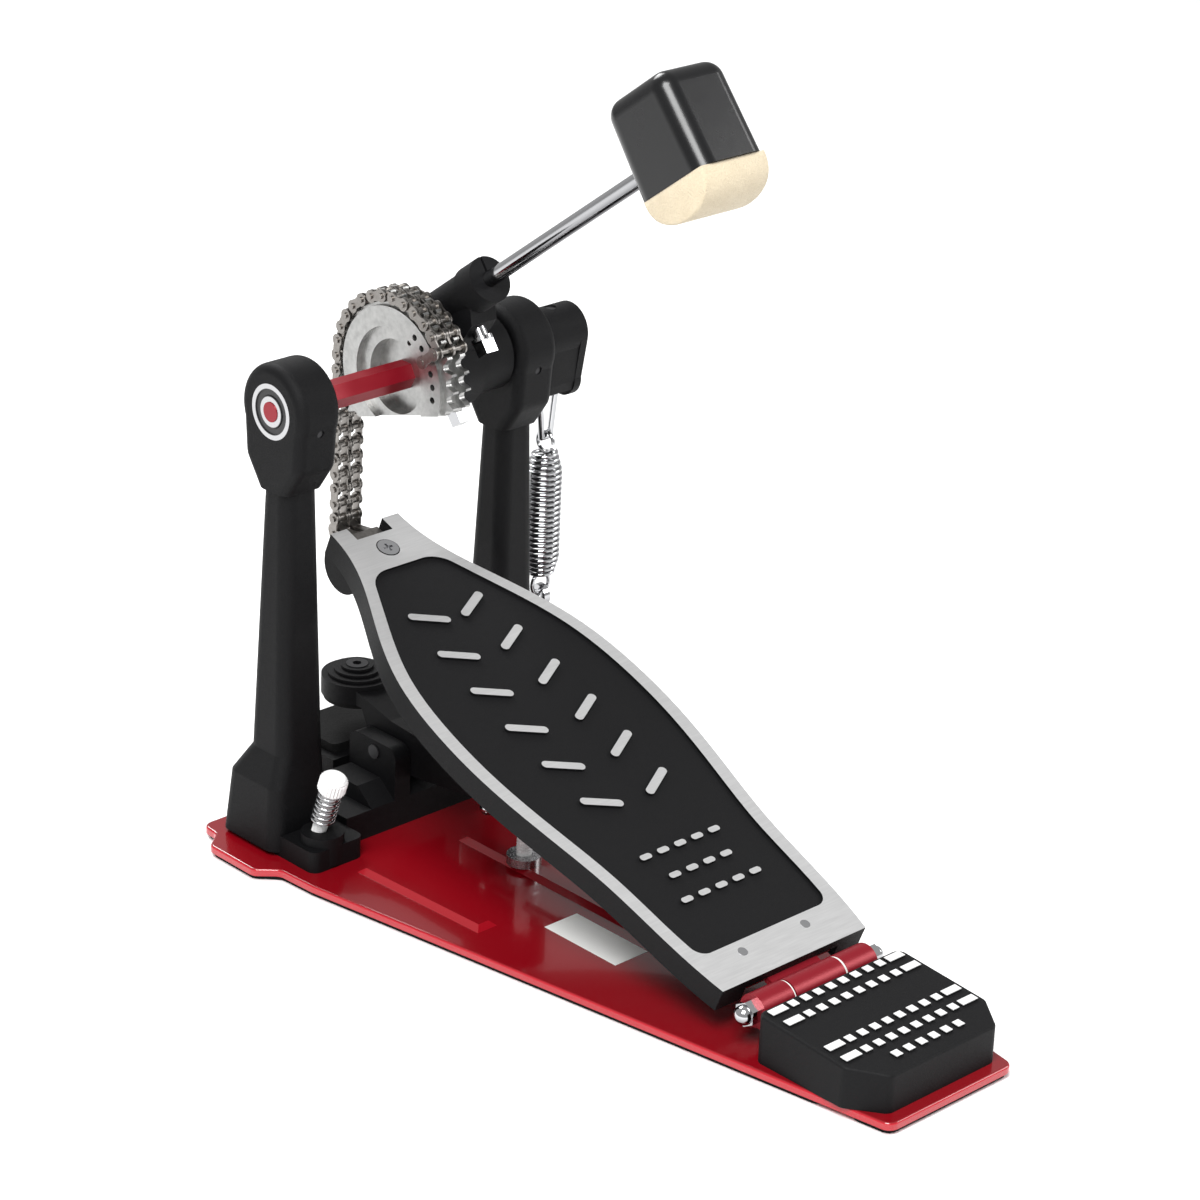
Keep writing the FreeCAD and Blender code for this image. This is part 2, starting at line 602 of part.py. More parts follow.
def make_beater():
    rod_body = rod_bar(ROD_START, ROD_END, ROD_R)
    save("beater_rod", round_edges(rod_body, 0.8, lambda e: e.Curve.TypeId == "Part::GeomCircle"))
    x0, x1 = ROD_X - HEAD_HALF_WIDTH, ROD_X + HEAD_HALF_WIDTH
    seam, top = 5.0, 43.0
    shell = slab_rod([(HEAD_START, seam), (HEAD_END, seam), (HEAD_END - 2.0, top), (HEAD_START + 1.0, top)], x0, x1)
    corner = 7.0
    seam_plane = rod_point(0, seam)
    free = lambda e: any((v.Point - seam_plane).dot(AHEAD) > 1.0 for v in e.Vertexes)
    shell = round_edges(shell, corner, free)
    rod_hole = rod_bar(HEAD_START - 5.0, ROD_END + 0.5, ROD_R + RUN)
    save("beater_shell", shell.cut(rod_hole))
    start, end = HEAD_START + 3.0, HEAD_END - 1.0
    arc = Part.Arc(rod_point(start, seam, x0), rod_point((start + end) / 2, seam - 14.0, x0), rod_point(end, seam, x0))
    chord = Part.LineSegment(rod_point(end, seam, x0), rod_point(start, seam, x0))
    profile = Part.Face(Part.Wire([arc.toShape(), chord.toShape()]))
    felt = profile.extrude(V(2 * HEAD_HALF_WIDTH, 0, 0))
    save("beater_felt", felt)
    middle = (HEAD_START + ROD_END) / 2
    screw = rod(rod_point(middle, ROD_OFFSET, x1 - 9.0), rod_point(middle, ROD_OFFSET, x1 - 1.0), 2.5)
    save("beater_set_screw", screw)
    shell = Part.read("parts/beater_shell.step")
    hole = rod(rod_point(middle, ROD_OFFSET, x1 - 20.0), rod_point(middle, ROD_OFFSET, x1 + 1.0), 2.5)
    save("beater_shell", shell.cut(hole))


# ---------------------------------------------------------------------------
# Return spring: rocker, bail, spring and eye bolt
# ---------------------------------------------------------------------------
PIN_Z = SHAFT_Z - ROCKER_ARM


def make_rocker():
    x0, x1 = 67.0, 89.0
    barrel = bar_x(0, SHAFT_Z, x0, x1, 11.0)
    pieces = [barrel]
    for a, b in ((x0, x0 + 3.6), (x1 - 3.6, x1)):
        lobe = bar_x(0, PIN_Z, a, b, 8.0)
        reach = SHAFT_Z - PIN_Z
        side = 11.0 * math.cos(math.asin(3.0 / reach))
        sill = [(-side, SHAFT_Z - 2.0), (side, SHAFT_Z - 2.0), (7.8, PIN_Z), (-7.8, PIN_Z)]
        pieces += [lobe, slab_x(sill, a, b)]
    back_web = [(-10.4, SHAFT_Z - 1.5), (-6.0, SHAFT_Z - 1.5), (-5.6, PIN_Z - 4.0), (-6.6, PIN_Z - 4.0), (-7.7, PIN_Z)]
    pieces.append(slab_x(back_web, x0 + 1.0, x1 - 1.0))
    rocker = join(pieces)
    rocker = rocker.cut(bar_x(0, SHAFT_Z, x0 - 1, x1 + 1, JOURNAL_R))
    rocker = rocker.cut(bar_x(0, PIN_Z, x0 - 1, x1 + 1, 2.5))
    screw_hole = rod((SPRING_X, 0, SHAFT_Z + 3.0), (SPRING_X, 0, SHAFT_Z + 12.0), 2.4)
    save("spring_rocker", rocker.cut(screw_hole))
    screw = rod((SPRING_X, 0, SHAFT_Z + JOURNAL_R), (SPRING_X, 0, SHAFT_Z + 10.4), 2.4)
    save("rocker_set_screw", screw)
    pin = bar_x(0, PIN_Z, x0 - 0.5, x1 + 0.5, 2.5 - RUN)
    head = bar_x(0, PIN_Z, x1, x1 + 2.8, 4.2)
    save("rocker_pin", join([pin, round_edges(head, 1.0, lambda e: e.BoundBox.XMin > x1 + 2.0)]))


def wire_path(points, radius):
    """Bent wire: straight runs with ball joints where it turns."""
    pieces = []
    for a, b in zip(points, points[1:]):
        pieces.append(rod(a, b, radius))
    pieces += [Part.makeSphere(radius, V(*p)) for p in points[1:-1]]
    return join(pieces)


HOOK_R = 4.6                    # rings at both ends of the return spring, to the wire's middle
BAIL_WIRE_R = 1.4
BAIL_FOOT = SPRING_TOP + 3.4 + HOOK_R - WIRE_R - BAIL_WIRE_R - 0.1


def make_bail():
    """Triangular wire bail with an eye on each side, hung on the rocker's pin."""
    pieces = []
    for side in (-1, 1):
        x = SPRING_X + side * 4.6
        eye = bar_x(0, PIN_Z, x - 1.4, x + 1.4, 4.6)
        pieces.append(eye)
    points = [(SPRING_X - 4.6, 0, PIN_Z - 3.6), (SPRING_X - 2.2, 0, BAIL_FOOT), (SPRING_X + 2.2, 0, BAIL_FOOT),
              (SPRING_X + 4.6, 0, PIN_Z - 3.6)]
    bail = join(pieces + [wire_path(points, BAIL_WIRE_R)])
    save("spring_bail", bail.cut(bar_x(0, PIN_Z, SPRING_X - 10, SPRING_X + 10, 2.5 + RUN)))


def make_spring():
    """The wound body as a closed tube with tapered ends, and its two hooks."""
    tube = rod((SPRING_X, 0, SPRING_FOOT + 4), (SPRING_X, 0, SPRING_TOP - 8), SPRING_R)
    top = Part.makeCone(SPRING_R, 5.4, 8, V(SPRING_X, 0, SPRING_TOP - 8), V(0, 0, 1))
    low = Part.makeCone(6.2, SPRING_R, 4, V(SPRING_X, 0, SPRING_FOOT), V(0, 0, 1))
    body = join([tube, top, low])
    body = body.cut(rod((SPRING_X, 0, SPRING_FOOT - 1), (SPRING_X, 0, SPRING_TOP + 1), 4.3))
    upper = Part.makeTorus(HOOK_R, WIRE_R, V(SPRING_X, 0, SPRING_TOP + 3.4), V(1, 0, 0))
    lower = Part.makeTorus(HOOK_R, WIRE_R, V(SPRING_X, 0, SPRING_FOOT - 3.4), V(0, 1, 0))
    save("return_spring", join([body, upper, lower]))


def make_eye_bolt():
    """Hooked bolt in the lug, its lock nut above and its tension nut below."""
    shank_top = EYE_Z - 4.0
    shank = rod((SPRING_X, 0, 30.0), (SPRING_X, 0, shank_top), 3.0)
    blade = box(SPRING_X - 1.6, SPRING_X + 1.6, -3.6, 3.6, shank_top - 1.0, EYE_Z + 4.0)
    blade = blade.fuse(Part.makeCylinder(4.8, 3.2, V(SPRING_X - 1.6, 0, EYE_Z + 1.6), V(1, 0, 0)))
    slot = box(SPRING_X - 5, SPRING_X + 5, -2.0, 2.0, EYE_Z - 1.4, EYE_Z + 4.2)
    slot = round_edges(slot, 1.8, edge_along_x)
    save("eye_bolt", join([shank, blade]).cut(slot).removeSplitter())
    nut = hex_prism(SPRING_X, 0, 52.0, 5.0, 5.0)
    save("eye_bolt_nut", nut.cut(rod((SPRING_X, 0, 45), (SPRING_X, 0, 60), 3.0)))
    knob = rod((SPRING_X, 0, 36.0), (SPRING_X, 0, 44.0), 6.0)
    knob = round_edges(knob, 0.8, lambda e: e.Curve.TypeId == "Part::GeomCircle")
    save("tension_nut", knob.cut(rod((SPRING_X, 0, 30), (SPRING_X, 0, 60), 3.0 + RUN)))


def hex_prism(x, y, z, flats_half, height):
    """Six-sided nut blank standing on Z."""
    radius = flats_half / math.cos(math.radians(30.0))
    outline = [(x + radius * math.cos(math.radians(60 * k)), y + radius * math.sin(math.radians(60 * k)))
               for k in range(6)]
    return slab_z(outline, z, z + height)


# ---------------------------------------------------------------------------
# Hoop clamp
# ---------------------------------------------------------------------------
def make_clamp():
    pivot_y, pivot_z = CLAMP_PIVOT
    half = 9.6
    jaw = rod((0, JAW_Y, JAW_TOP - 12.0), (0, JAW_Y, JAW_TOP - 4.0), JAW_R)
    steps = [jaw]
    for radius, top in ((12.0, JAW_TOP - 2.6), (9.4, JAW_TOP - 1.3), (6.6, JAW_TOP)):
        steps.append(rod((0, JAW_Y, JAW_TOP - 6.0), (0, JAW_Y, top), radius))
    tail = [(JAW_Y - 2.0, JAW_TOP - 4.6), (JAW_Y - 8.0, JAW_TOP - 5.0), (pivot_y, pivot_z + 11.0),
            (pivot_y - 14.0, pivot_z + 10.0), (CLAMP_SCREW_Y, 46.0), (CLAMP_SCREW_Y, 33.0),
            (pivot_y - 18.0, pivot_z - 8.0), (pivot_y + 4.0, pivot_z - 10.0), (pivot_y + 12.0, pivot_z - 2.0),
            (JAW_Y - JAW_R, JAW_TOP - 12.0), (JAW_Y - 2.0, JAW_TOP - 12.0)]
    arm = join(steps + [slab_x(tail, -half, half), rod((0, CLAMP_SCREW_Y, 33.0), (0, CLAMP_SCREW_Y, 46.0), half)])
    arm = arm.cut(bar_x(pivot_y, pivot_z, -20, 20, 3.0))
    arm = arm.cut(rod((0, CLAMP_SCREW_Y, 20.0), (0, CLAMP_SCREW_Y, 60.0), 5.2))
    arm = arm.cut(rod((0, JAW_Y, 30.0), (0, JAW_Y, 70.0), 2.6))
    arm = arm.cut(Part.makeCylinder(4.6, 10.0, V(0, JAW_Y, JAW_TOP - 1.6), V(0, 0, 1)))
    save("clamp_arm", arm.removeSplitter())
    pad = rod((0, JAW_Y, 42.0), (0, JAW_Y, JAW_TOP - 12.0), JAW_R - 1.0)
    save("clamp_jaw_pad", pad.cut(rod((0, JAW_Y, 30), (0, JAW_Y, 60), 2.6)))
    head = rod((0, JAW_Y, JAW_TOP - 1.6), (0, JAW_Y, JAW_TOP + 0.4), 4.5)
    socket = hex_prism(0, JAW_Y, JAW_TOP - 1.0, 1.7, 5.0)
    stem = rod((0, JAW_Y, 43.0), (0, JAW_Y, JAW_TOP - 1.5), 2.55)
    save("clamp_jaw_screw", join([head, stem]).cut(socket))
    sleeve = rod((0, CLAMP_SCREW_Y, 34.0), (0, CLAMP_SCREW_Y, 45.0), 5.2)
    save("clamp_nut", sleeve.cut(rod((0, CLAMP_SCREW_Y, 30), (0, CLAMP_SCREW_Y, 50), 4.6)))
    foot_ring = rod((0, CLAMP_SCREW_Y, DECK + 2.0), (0, CLAMP_SCREW_Y, DECK + 5.5), 7.0)
    foot_ring = foot_ring.cut(rod((0, CLAMP_SCREW_Y, DECK), (0, CLAMP_SCREW_Y, DECK + 9), 3.3))
    save("clamp_screw_seat", foot_ring)
    save("clamp_screw", rod((0, CLAMP_SCREW_Y, DECK + 2.1), (0, CLAMP_SCREW_Y, 50.0), 3.2)
         .cut(rod((0, CLAMP_SCREW_Y - 30, 22.0), (0, CLAMP_SCREW_Y + 30, 22.0), 2.2)))
    reach = 22.0
    handle = rod((0, CLAMP_SCREW_Y - reach, 22.0), (0, CLAMP_SCREW_Y + reach, 22.0), 2.2)
    knobs = [Part.makeSphere(3.1, V(0, CLAMP_SCREW_Y + side * reach, 22.0)) for side in (-1, 1)]
    save("clamp_handle", join([handle] + knobs))


# ---------------------------------------------------------------------------
# Footboard, heel hinge and heel block
# ---------------------------------------------------------------------------
def on_board(shape):
    """Move a shape drawn flat (X across, Y from the heel, Z up) onto the footboard."""
    copy = shape.copy()
    copy.rotate(V(0, 0, 0), V(1, 0, 0), BOARD_SLOPE)
    copy.translate(V(0, HEEL_EDGE_Y, HEEL_EDGE_Z))
    return copy


def off_board(y, z):
    """Where a point of the pedal lies in the flat drawing of the footboard."""
    slope = math.radians(BOARD_SLOPE)
    dy, dz = y - HEEL_EDGE_Y, z - HEEL_EDGE_Z
    return dy * math.cos(slope) + dz * math.sin(slope), dz * math.cos(slope) - dy * math.sin(slope)


def board_half(s):
    """Half width of the footboard at a distance from its heel edge."""
    for (s0, w0), (s1, w1) in zip(BOARD_OUTLINE, BOARD_OUTLINE[1:]):
        if s <= s1:
            return w0 + (w1 - w0) * (s - s0) / (s1 - s0)
    return BOARD_OUTLINE[-1][1]


def board_face(inset, start, end, level):
    """The footboard's outline, drawn in from its edge, as a flat face."""
    inner = [s for s, w in BOARD_OUTLINE if start + 8.0 < s < end - 8.0]
    stations = [start] + inner + [end]
    right = Part.BSplineCurve()
    right.interpolate([V(board_half(s) - inset, s, level) for s in stations])
    left = Part.BSplineCurve()
    left.interpolate([V(-board_half(s) + inset, s, level) for s in reversed(stations)])
    toe = Part.LineSegment(right.EndPoint, left.StartPoint)
    heel = Part.LineSegment(left.EndPoint, right.StartPoint)
    return Part.Face(Part.Wire([right.toShape(), toe.toShape(), left.toShape(), heel.toShape()]))


def capsule(x, s, length, width, angle, z0, z1):
    """A round-ended raised bar on the tread."""
    turn = math.radians(angle)
    run = V(math.cos(turn), math.sin(turn), 0) * (length / 2)
    centre = V(x, s, z0)
    side = V(-math.sin(turn), math.cos(turn), 0) * (width / 2)
    a, b = centre - run, centre + run
    strip = face_of([a + side, b + side, b - side, a - side]).extrude(V(0, 0, z1 - z0))
    ends = [Part.makeCylinder(width / 2, z1 - z0, p, V(0, 0, 1)) for p in (a, b)]
    return join([strip] + ends)


def tread_marks(z0, z1):
    """Plain traction pattern: slanted pairs of bars up the middle, dots near the heel."""
    marks = []
    for k in range(6):
        s = 96.0 + 22.0 * k
        reach = 0.30 * board_half(s)
        marks.append(capsule(-reach, s, 14.0, 3.6, -28.0, z0, z1))
        marks.append(capsule(reach, s, 14.0, 3.6, 28.0, z0, z1))
    for row, s in enumerate((42.0, 54.0, 66.0)):
        for k in range(5 - row % 2):
            marks.append(capsule((k - (4 - row % 2) / 2) * 9.0, s, 3.0, 2.6, 0.0, z0, z1))
    return marks


def make_footboard():
    body = board_face(0.0, 0.0, BOARD_LENGTH, -BOARD_DEPTH).extrude(V(0, 0, BOARD_DEPTH))
    hollow = board_face(BOARD_WALL, BOARD_WALL, BOARD_LENGTH - 4.0, -BOARD_DEPTH - 1.0)
    body = body.cut(hollow.extrude(V(0, 0, 1.0 + BOARD_DEPTH - BOARD_SKIN)))
    lugs = []
    for side in (-1, 1):
        x0, x1 = sorted((side * 12.4, side * 17.4))
        lug = Part.makeCylinder(11.0, x1 - x0, V(x0, 251.0, -9.0), V(1, 0, 0))
        lug = lug.cut(box(-30, 30, 200, 300, -0.6, 20))
        lugs.append(lug)
    body = join([body] + lugs)
    body = body.cut(box(-9.2, 9.2, 255.0, 275.0, -30.0, 5.0))
    body = body.cut(box(-24.5, 24.5, -2.0, 6.0, -BOARD_DEPTH - 1, -BOARD_SKIN))
    field_start, field_end = 17.0, 236.0
    field = board_face(RIM, field_start, field_end, -RECESS).extrude(V(0, 0, 5.0))
    corners = lambda e: upright_edge(e)
    field = field.makeFillet(6.0, [e for e in field.Edges if corners(e) and e.BoundBox.YMax < 100.0])
    field = field.makeFillet(12.0, [e for e in field.Edges if corners(e) and e.BoundBox.YMin > 200.0])
    for mark in tread_marks(-RECESS - 1.0, 6.0):
        field = field.cut(mark)
    body = body.cut(field)
    screw_s = 246.5
    body = body.cut(Part.makeCylinder(4.9, 5.0, V(0, screw_s, -1.2), V(0, 0, 1)))
    body = body.cut(Part.makeCylinder(2.5, 20.0, V(0, screw_s, -15.0), V(0, 0, 1)))
    for side in (-1, 1):
        body = body.cut(Part.makeCylinder(2.0, 20.0, V(side * 16.6, 12.0, -15.0), V(0, 0, 1)))
    save("footboard", on_board(body))


def make_toe_fittings():
    """Chain connector with slotted eyes under the toe, and the cross-head screw that holds it."""
    top = wheel_point(0.0, PIN_CIRCLE_R)
    eye_s, eye_t = off_board(top.y, top.z - HANGING_LINKS * PITCH)
    eye_r, hole_r, play = 3.0, 1.5, 1.9
    foot = box(-8.0, 8.0, 238.0, 262.0, -8.0, -BOARD_SKIN)
    pieces = [foot]
    for side in (-1, 1):
        x0, x1 = sorted((side * 1.3, side * 5.1))
        outline = [(256.0, -8.0), (262.0, -BOARD_SKIN), (eye_s - play, eye_t + eye_r), (eye_s + play, eye_t + eye_r),
                   (eye_s + play, eye_t - eye_r), (eye_s - play, eye_t - eye_r), (258.0, -11.0)]
        pieces.append(slab_x(outline, x0, x1))
        pieces.append(bar_x(eye_s + play, eye_t, x0, x1, eye_r))
    slot = [box(-10.0, 10.0, eye_s - play, eye_s + play, eye_t - hole_r, eye_t + hole_r)]
    slot += [bar_x(eye_s + side * play, eye_t, -10, 10, hole_r) for side in (-1, 1)]
    connector = join(pieces).cut(join(slot))
    hole = Part.makeCylinder(2.5, 20.0, V(0, 246.5, -15.0), V(0, 0, 1))
    save("chain_connector", on_board(connector.cut(hole)))
    head = Part.makeCylinder(4.5, 1.4, V(0, 246.5, -1.2), V(0, 0, 1))
    shank = Part.makeCylinder(2.5, 8.0, V(0, 246.5, -9.0), V(0, 0, 1))
    cross = [box(-2.2, 2.2, 246.0, 247.0, -0.6, 1.0), box(-0.5, 0.5, 244.3, 248.7, -0.6, 1.0)]
    save("toe_screw", on_board(join([head, shank]).cut(join(cross))))


def make_hinge():
    """Three knuckles on one rod; the middle one belongs to the footboard."""
    s, t = off_board(HINGE_Y, HINGE_Z)
    middle = bar_x(s, t, -MID_KNUCKLE, MID_KNUCKLE, HINGE_R)
    leaf = box(-22.0, 22.0, 1.0, 21.0, -BOARD_SKIN - 2.6, -BOARD_SKIN)
    neck = box(-MID_KNUCKLE, MID_KNUCKLE, s, 3.0, -BOARD_SKIN - 2.6, -BOARD_SKIN)
    knuckle = join([middle, leaf, neck])
    knuckle = knuckle.cut(bar_x(s, t, -40, 40, HINGE_PIN_R + RUN))
    for side in (-1, 1):
        knuckle = knuckle.cut(Part.makeCylinder(2.0, 20.0, V(side * 16.6, 12.0, -15.0), V(0, 0, 1)))
    save("footboard_knuckle", on_board(knuckle))
    rivets = []
    for side in (-1, 1):
        rivets.append(Part.makeCylinder(2.0, 7.2, V(side * 16.6, 12.0, -7.1), V(0, 0, 1)))
    save("footboard_rivets", on_board(group(rivets)))
    outer = []
    for side in (-1, 1):
        x0, x1 = sorted((side * (MID_KNUCKLE + KNUCKLE_GAP + 0.8), side * HINGE_HALF))
        tube = bar_x(HINGE_Y, HINGE_Z, x0, x1, HINGE_R)
        strap = box(x0, x1, HEEL_FRONT - 18.0, HINGE_Y, 12.4, 15.4)
        outer.append(join([tube, strap]).cut(bar_x(HINGE_Y, HINGE_Z, -40, 40, HINGE_PIN_R)))
    save("heel_knuckles", group(outer))
    washers = []
    for side in (-1, 1):
        x0, x1 = sorted((side * (MID_KNUCKLE + KNUCKLE_GAP), side * (MID_KNUCKLE + KNUCKLE_GAP + 0.8)))
        ring = bar_x(HINGE_Y, HINGE_Z, x0, x1, HINGE_R - 0.3)
        washers.append(ring.cut(bar_x(HINGE_Y, HINGE_Z, -40, 40, HINGE_PIN_R)))
    save("hinge_washers", group(washers))
    tip = HINGE_HALF + 5.5
    save("hinge_rod", bar_x(HINGE_Y, HINGE_Z, -tip, tip, HINGE_PIN_R))
    nuts = []
    for side in (-1, 1):
        face = side * HINGE_HALF
        nut = hex_prism(0, 0, 0, 4.3, 4.6)
        dome = Part.makeSphere(3.9, V(0, 0, 4.6))
        cap = join([nut, dome.cut(box(-9, 9, -9, 9, -9, 0))]).cut(rod((0, 0, -1), (0, 0, 5.5), HINGE_PIN_R))
        cap.rotate(V(0, 0, 0), V(0, 1, 0), side * 90.0)
        cap.translate(V(face, HINGE_Y, HINGE_Z))
        nuts.append(cap)
    save("acorn_nuts", group(nuts))


def heel_top(y):
    share = (HEEL_FRONT - y) / (HEEL_FRONT - HEEL_BACK)
    return HEEL_TOP_FRONT + (HEEL_TOP_BACK - HEEL_TOP_FRONT) * share


TREAD_ROWS = [-245.0, -253.0, -273.0, -281.0, -289.5]
SQUARE = 3.4
SQUARE_RISE = 0.9
HEEL_SCREW_PLACES = [(-17.0, -249.0), (17.0, -249.0), (-28.5, -265.5), (28.5, -265.5), (0.0, -285.0)]


def heel_marks():
    """Rows of raised squares, with a longer bar at both ends of the wider rows."""
    slope = math.degrees(math.atan2(HEEL_TOP_FRONT - HEEL_TOP_BACK, HEEL_FRONT - HEEL_BACK))
    marks = []
    for row, y in enumerate(TREAD_ROWS):
        narrow = row == len(TREAD_ROWS) - 1
        count = 6 if narrow else 8
        blocks = [((k - (count - 1) / 2) * 6.6, SQUARE) for k in range(count)]
        if not narrow:
            blocks += [(-31.0, 8.0), (31.0, 8.0)]
        for x, width in blocks:
            z = heel_top(y)
            mark = box(x - width / 2, x + width / 2, y - SQUARE / 2, y + SQUARE / 2, z - 1.0, z + SQUARE_RISE)
            mark.rotate(V(0, y, z), V(1, 0, 0), slope)
            marks.append(mark)
    return marks


def make_heel_block():
    chamfer_y, chamfer_x = 14.0, 10.0
    outline = [(-HEEL_HALF, HEEL_FRONT), (HEEL_HALF, HEEL_FRONT), (HEEL_HALF, HEEL_BACK + chamfer_y),
               (HEEL_HALF - chamfer_x, HEEL_BACK), (-HEEL_HALF + chamfer_x, HEEL_BACK),
               (-HEEL_HALF, HEEL_BACK + chamfer_y)]
    block = round_edges(slab_z(outline, DECK, 40.0), 4.0, upright_edge)
    slope_cut = slab_x([(HEEL_FRONT + 5, heel_top(HEEL_FRONT + 5)), (HEEL_BACK - 5, heel_top(HEEL_BACK - 5)),
                        (HEEL_BACK - 5, 60.0), (HEEL_FRONT + 5, 60.0)], -60.0, 60.0)
    block = block.cut(slope_cut)
    block = round_edges(block, 1.2, lambda e: e.BoundBox.ZMin > HEEL_TOP_BACK - 1.0)
    block = block.multiFuse(heel_marks())
    for side in (-1, 1):
        x0, x1 = sorted((side * (MID_KNUCKLE + KNUCKLE_GAP + 0.8), side * HINGE_HALF))
        block = block.cut(box(x0, x1, HEEL_FRONT - 18.0, HEEL_FRONT + 2, 12.4, 15.4))
    for x, y in HEEL_SCREW_PLACES:
        block = block.cut(heel_screw(x, y))
    save("heel_block", block.removeSplitter())
    sockets = []
    for x, y in HEEL_SCREW_PLACES:
        socket = hex_prism(x, y, heel_top(y) - 1.6, 1.3, 5.0)
        sockets.append(heel_screw(x, y).cut(socket))
    save("heel_screws", group(sockets))


def heel_screw(x, y):
    """Cap screw through the heel block; the front pair ends in the hinge straps."""
    top = heel_top(y) - 0.2
    bottom = 12.6 if y > -258.0 else DECK
    return join([rod((x, y, top - 3.0), (x, y, top), 2.8), rod((x, y, bottom), (x, y, top - 2.9), 1.8)])


def cut_knuckle_screw_holes():
    """Let the two front heel screws pass through the hinge straps."""
    knuckles = Part.read("parts/heel_knuckles.step")
    for x, y in HEEL_SCREW_PLACES[:2]:
        knuckles = knuckles.cut(heel_screw(x, y))
    save("heel_knuckles", knuckles)


# ---------------------------------------------------------------------------
# Build every part
# ---------------------------------------------------------------------------
make_base_plate()
make_mats()
make_uprights()
make_bridge()
cut_base_screws()
make_spurs()
make_shaft()
make_bearings()
make_chain_wheel()
make_chain()
make_hub()
make_key_bolts()
make_beater()
make_rocker()
make_bail()
make_spring()
make_eye_bolt()
make_clamp()
make_footboard()
make_toe_fittings()
make_hinge()
make_heel_block()
cut_knuckle_screw_holes()
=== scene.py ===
# %% [markdown]
# # A bass drum pedal
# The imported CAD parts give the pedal's shape and its moving bodies. This lesson adds what castings,
# wire and paint look like: finishes, wound springs, screw threads, knurled knobs, a felt beater
# face and a blank label. All lengths are in metres, with X to the player's right, Y towards the drum
# and Z up from the floor.

import math

import bmesh
import bpy
from mathutils import Matrix, Vector


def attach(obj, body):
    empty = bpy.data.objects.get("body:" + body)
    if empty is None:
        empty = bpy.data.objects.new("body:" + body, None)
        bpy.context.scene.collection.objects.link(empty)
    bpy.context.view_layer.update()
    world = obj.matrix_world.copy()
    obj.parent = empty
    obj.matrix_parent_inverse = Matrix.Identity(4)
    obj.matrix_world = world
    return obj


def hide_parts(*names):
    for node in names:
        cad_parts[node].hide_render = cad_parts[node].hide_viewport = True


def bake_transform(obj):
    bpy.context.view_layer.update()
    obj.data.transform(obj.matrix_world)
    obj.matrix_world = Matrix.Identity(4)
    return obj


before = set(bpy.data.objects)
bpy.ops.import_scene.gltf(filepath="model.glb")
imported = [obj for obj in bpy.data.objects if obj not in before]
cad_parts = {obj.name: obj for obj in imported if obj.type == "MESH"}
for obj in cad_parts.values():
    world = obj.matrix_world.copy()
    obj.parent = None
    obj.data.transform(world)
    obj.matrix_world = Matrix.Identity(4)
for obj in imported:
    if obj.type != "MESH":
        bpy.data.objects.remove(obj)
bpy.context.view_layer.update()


# %% [markdown]
# ## Shader maths
# Masks and mixes read best as sums and products. A small class wraps a socket and turns Python's
# operators into Math nodes, and one method on the builder adds any other node.

# %% A value that does maths with nodes


class Value:
    """A socket that adds Math nodes when it is used in an expression."""

    def __init__(self, shader, socket):
        self.shader = shader
        self.socket = socket

    def math(self, operation, *others):
        return self.shader.node("ShaderNodeMath", {"operation": operation}, (self,) + others)

    def __add__(self, other):
        return self.math("ADD", other)

    def __sub__(self, other):
        return self.math("SUBTRACT", other)

    def __mul__(self, other):
        return self.math("MULTIPLY", other)

    __radd__ = __add__
    __rmul__ = __mul__

    def __rsub__(self, other):
        return self.shader.node("ShaderNodeMath", {"operation": "SUBTRACT"}, (other, self))

    def step(self, low, high):
        """0 below low, 1 above high and straight between."""
        settings = {"clamp": True}
        ends = {"Value": self, "From Min": low, "From Max": high, "To Min": 0.0, "To Max": 1.0}
        return self.shader.node("ShaderNodeMapRange", settings, ends, "Result")


# %% A finish with its own node tree


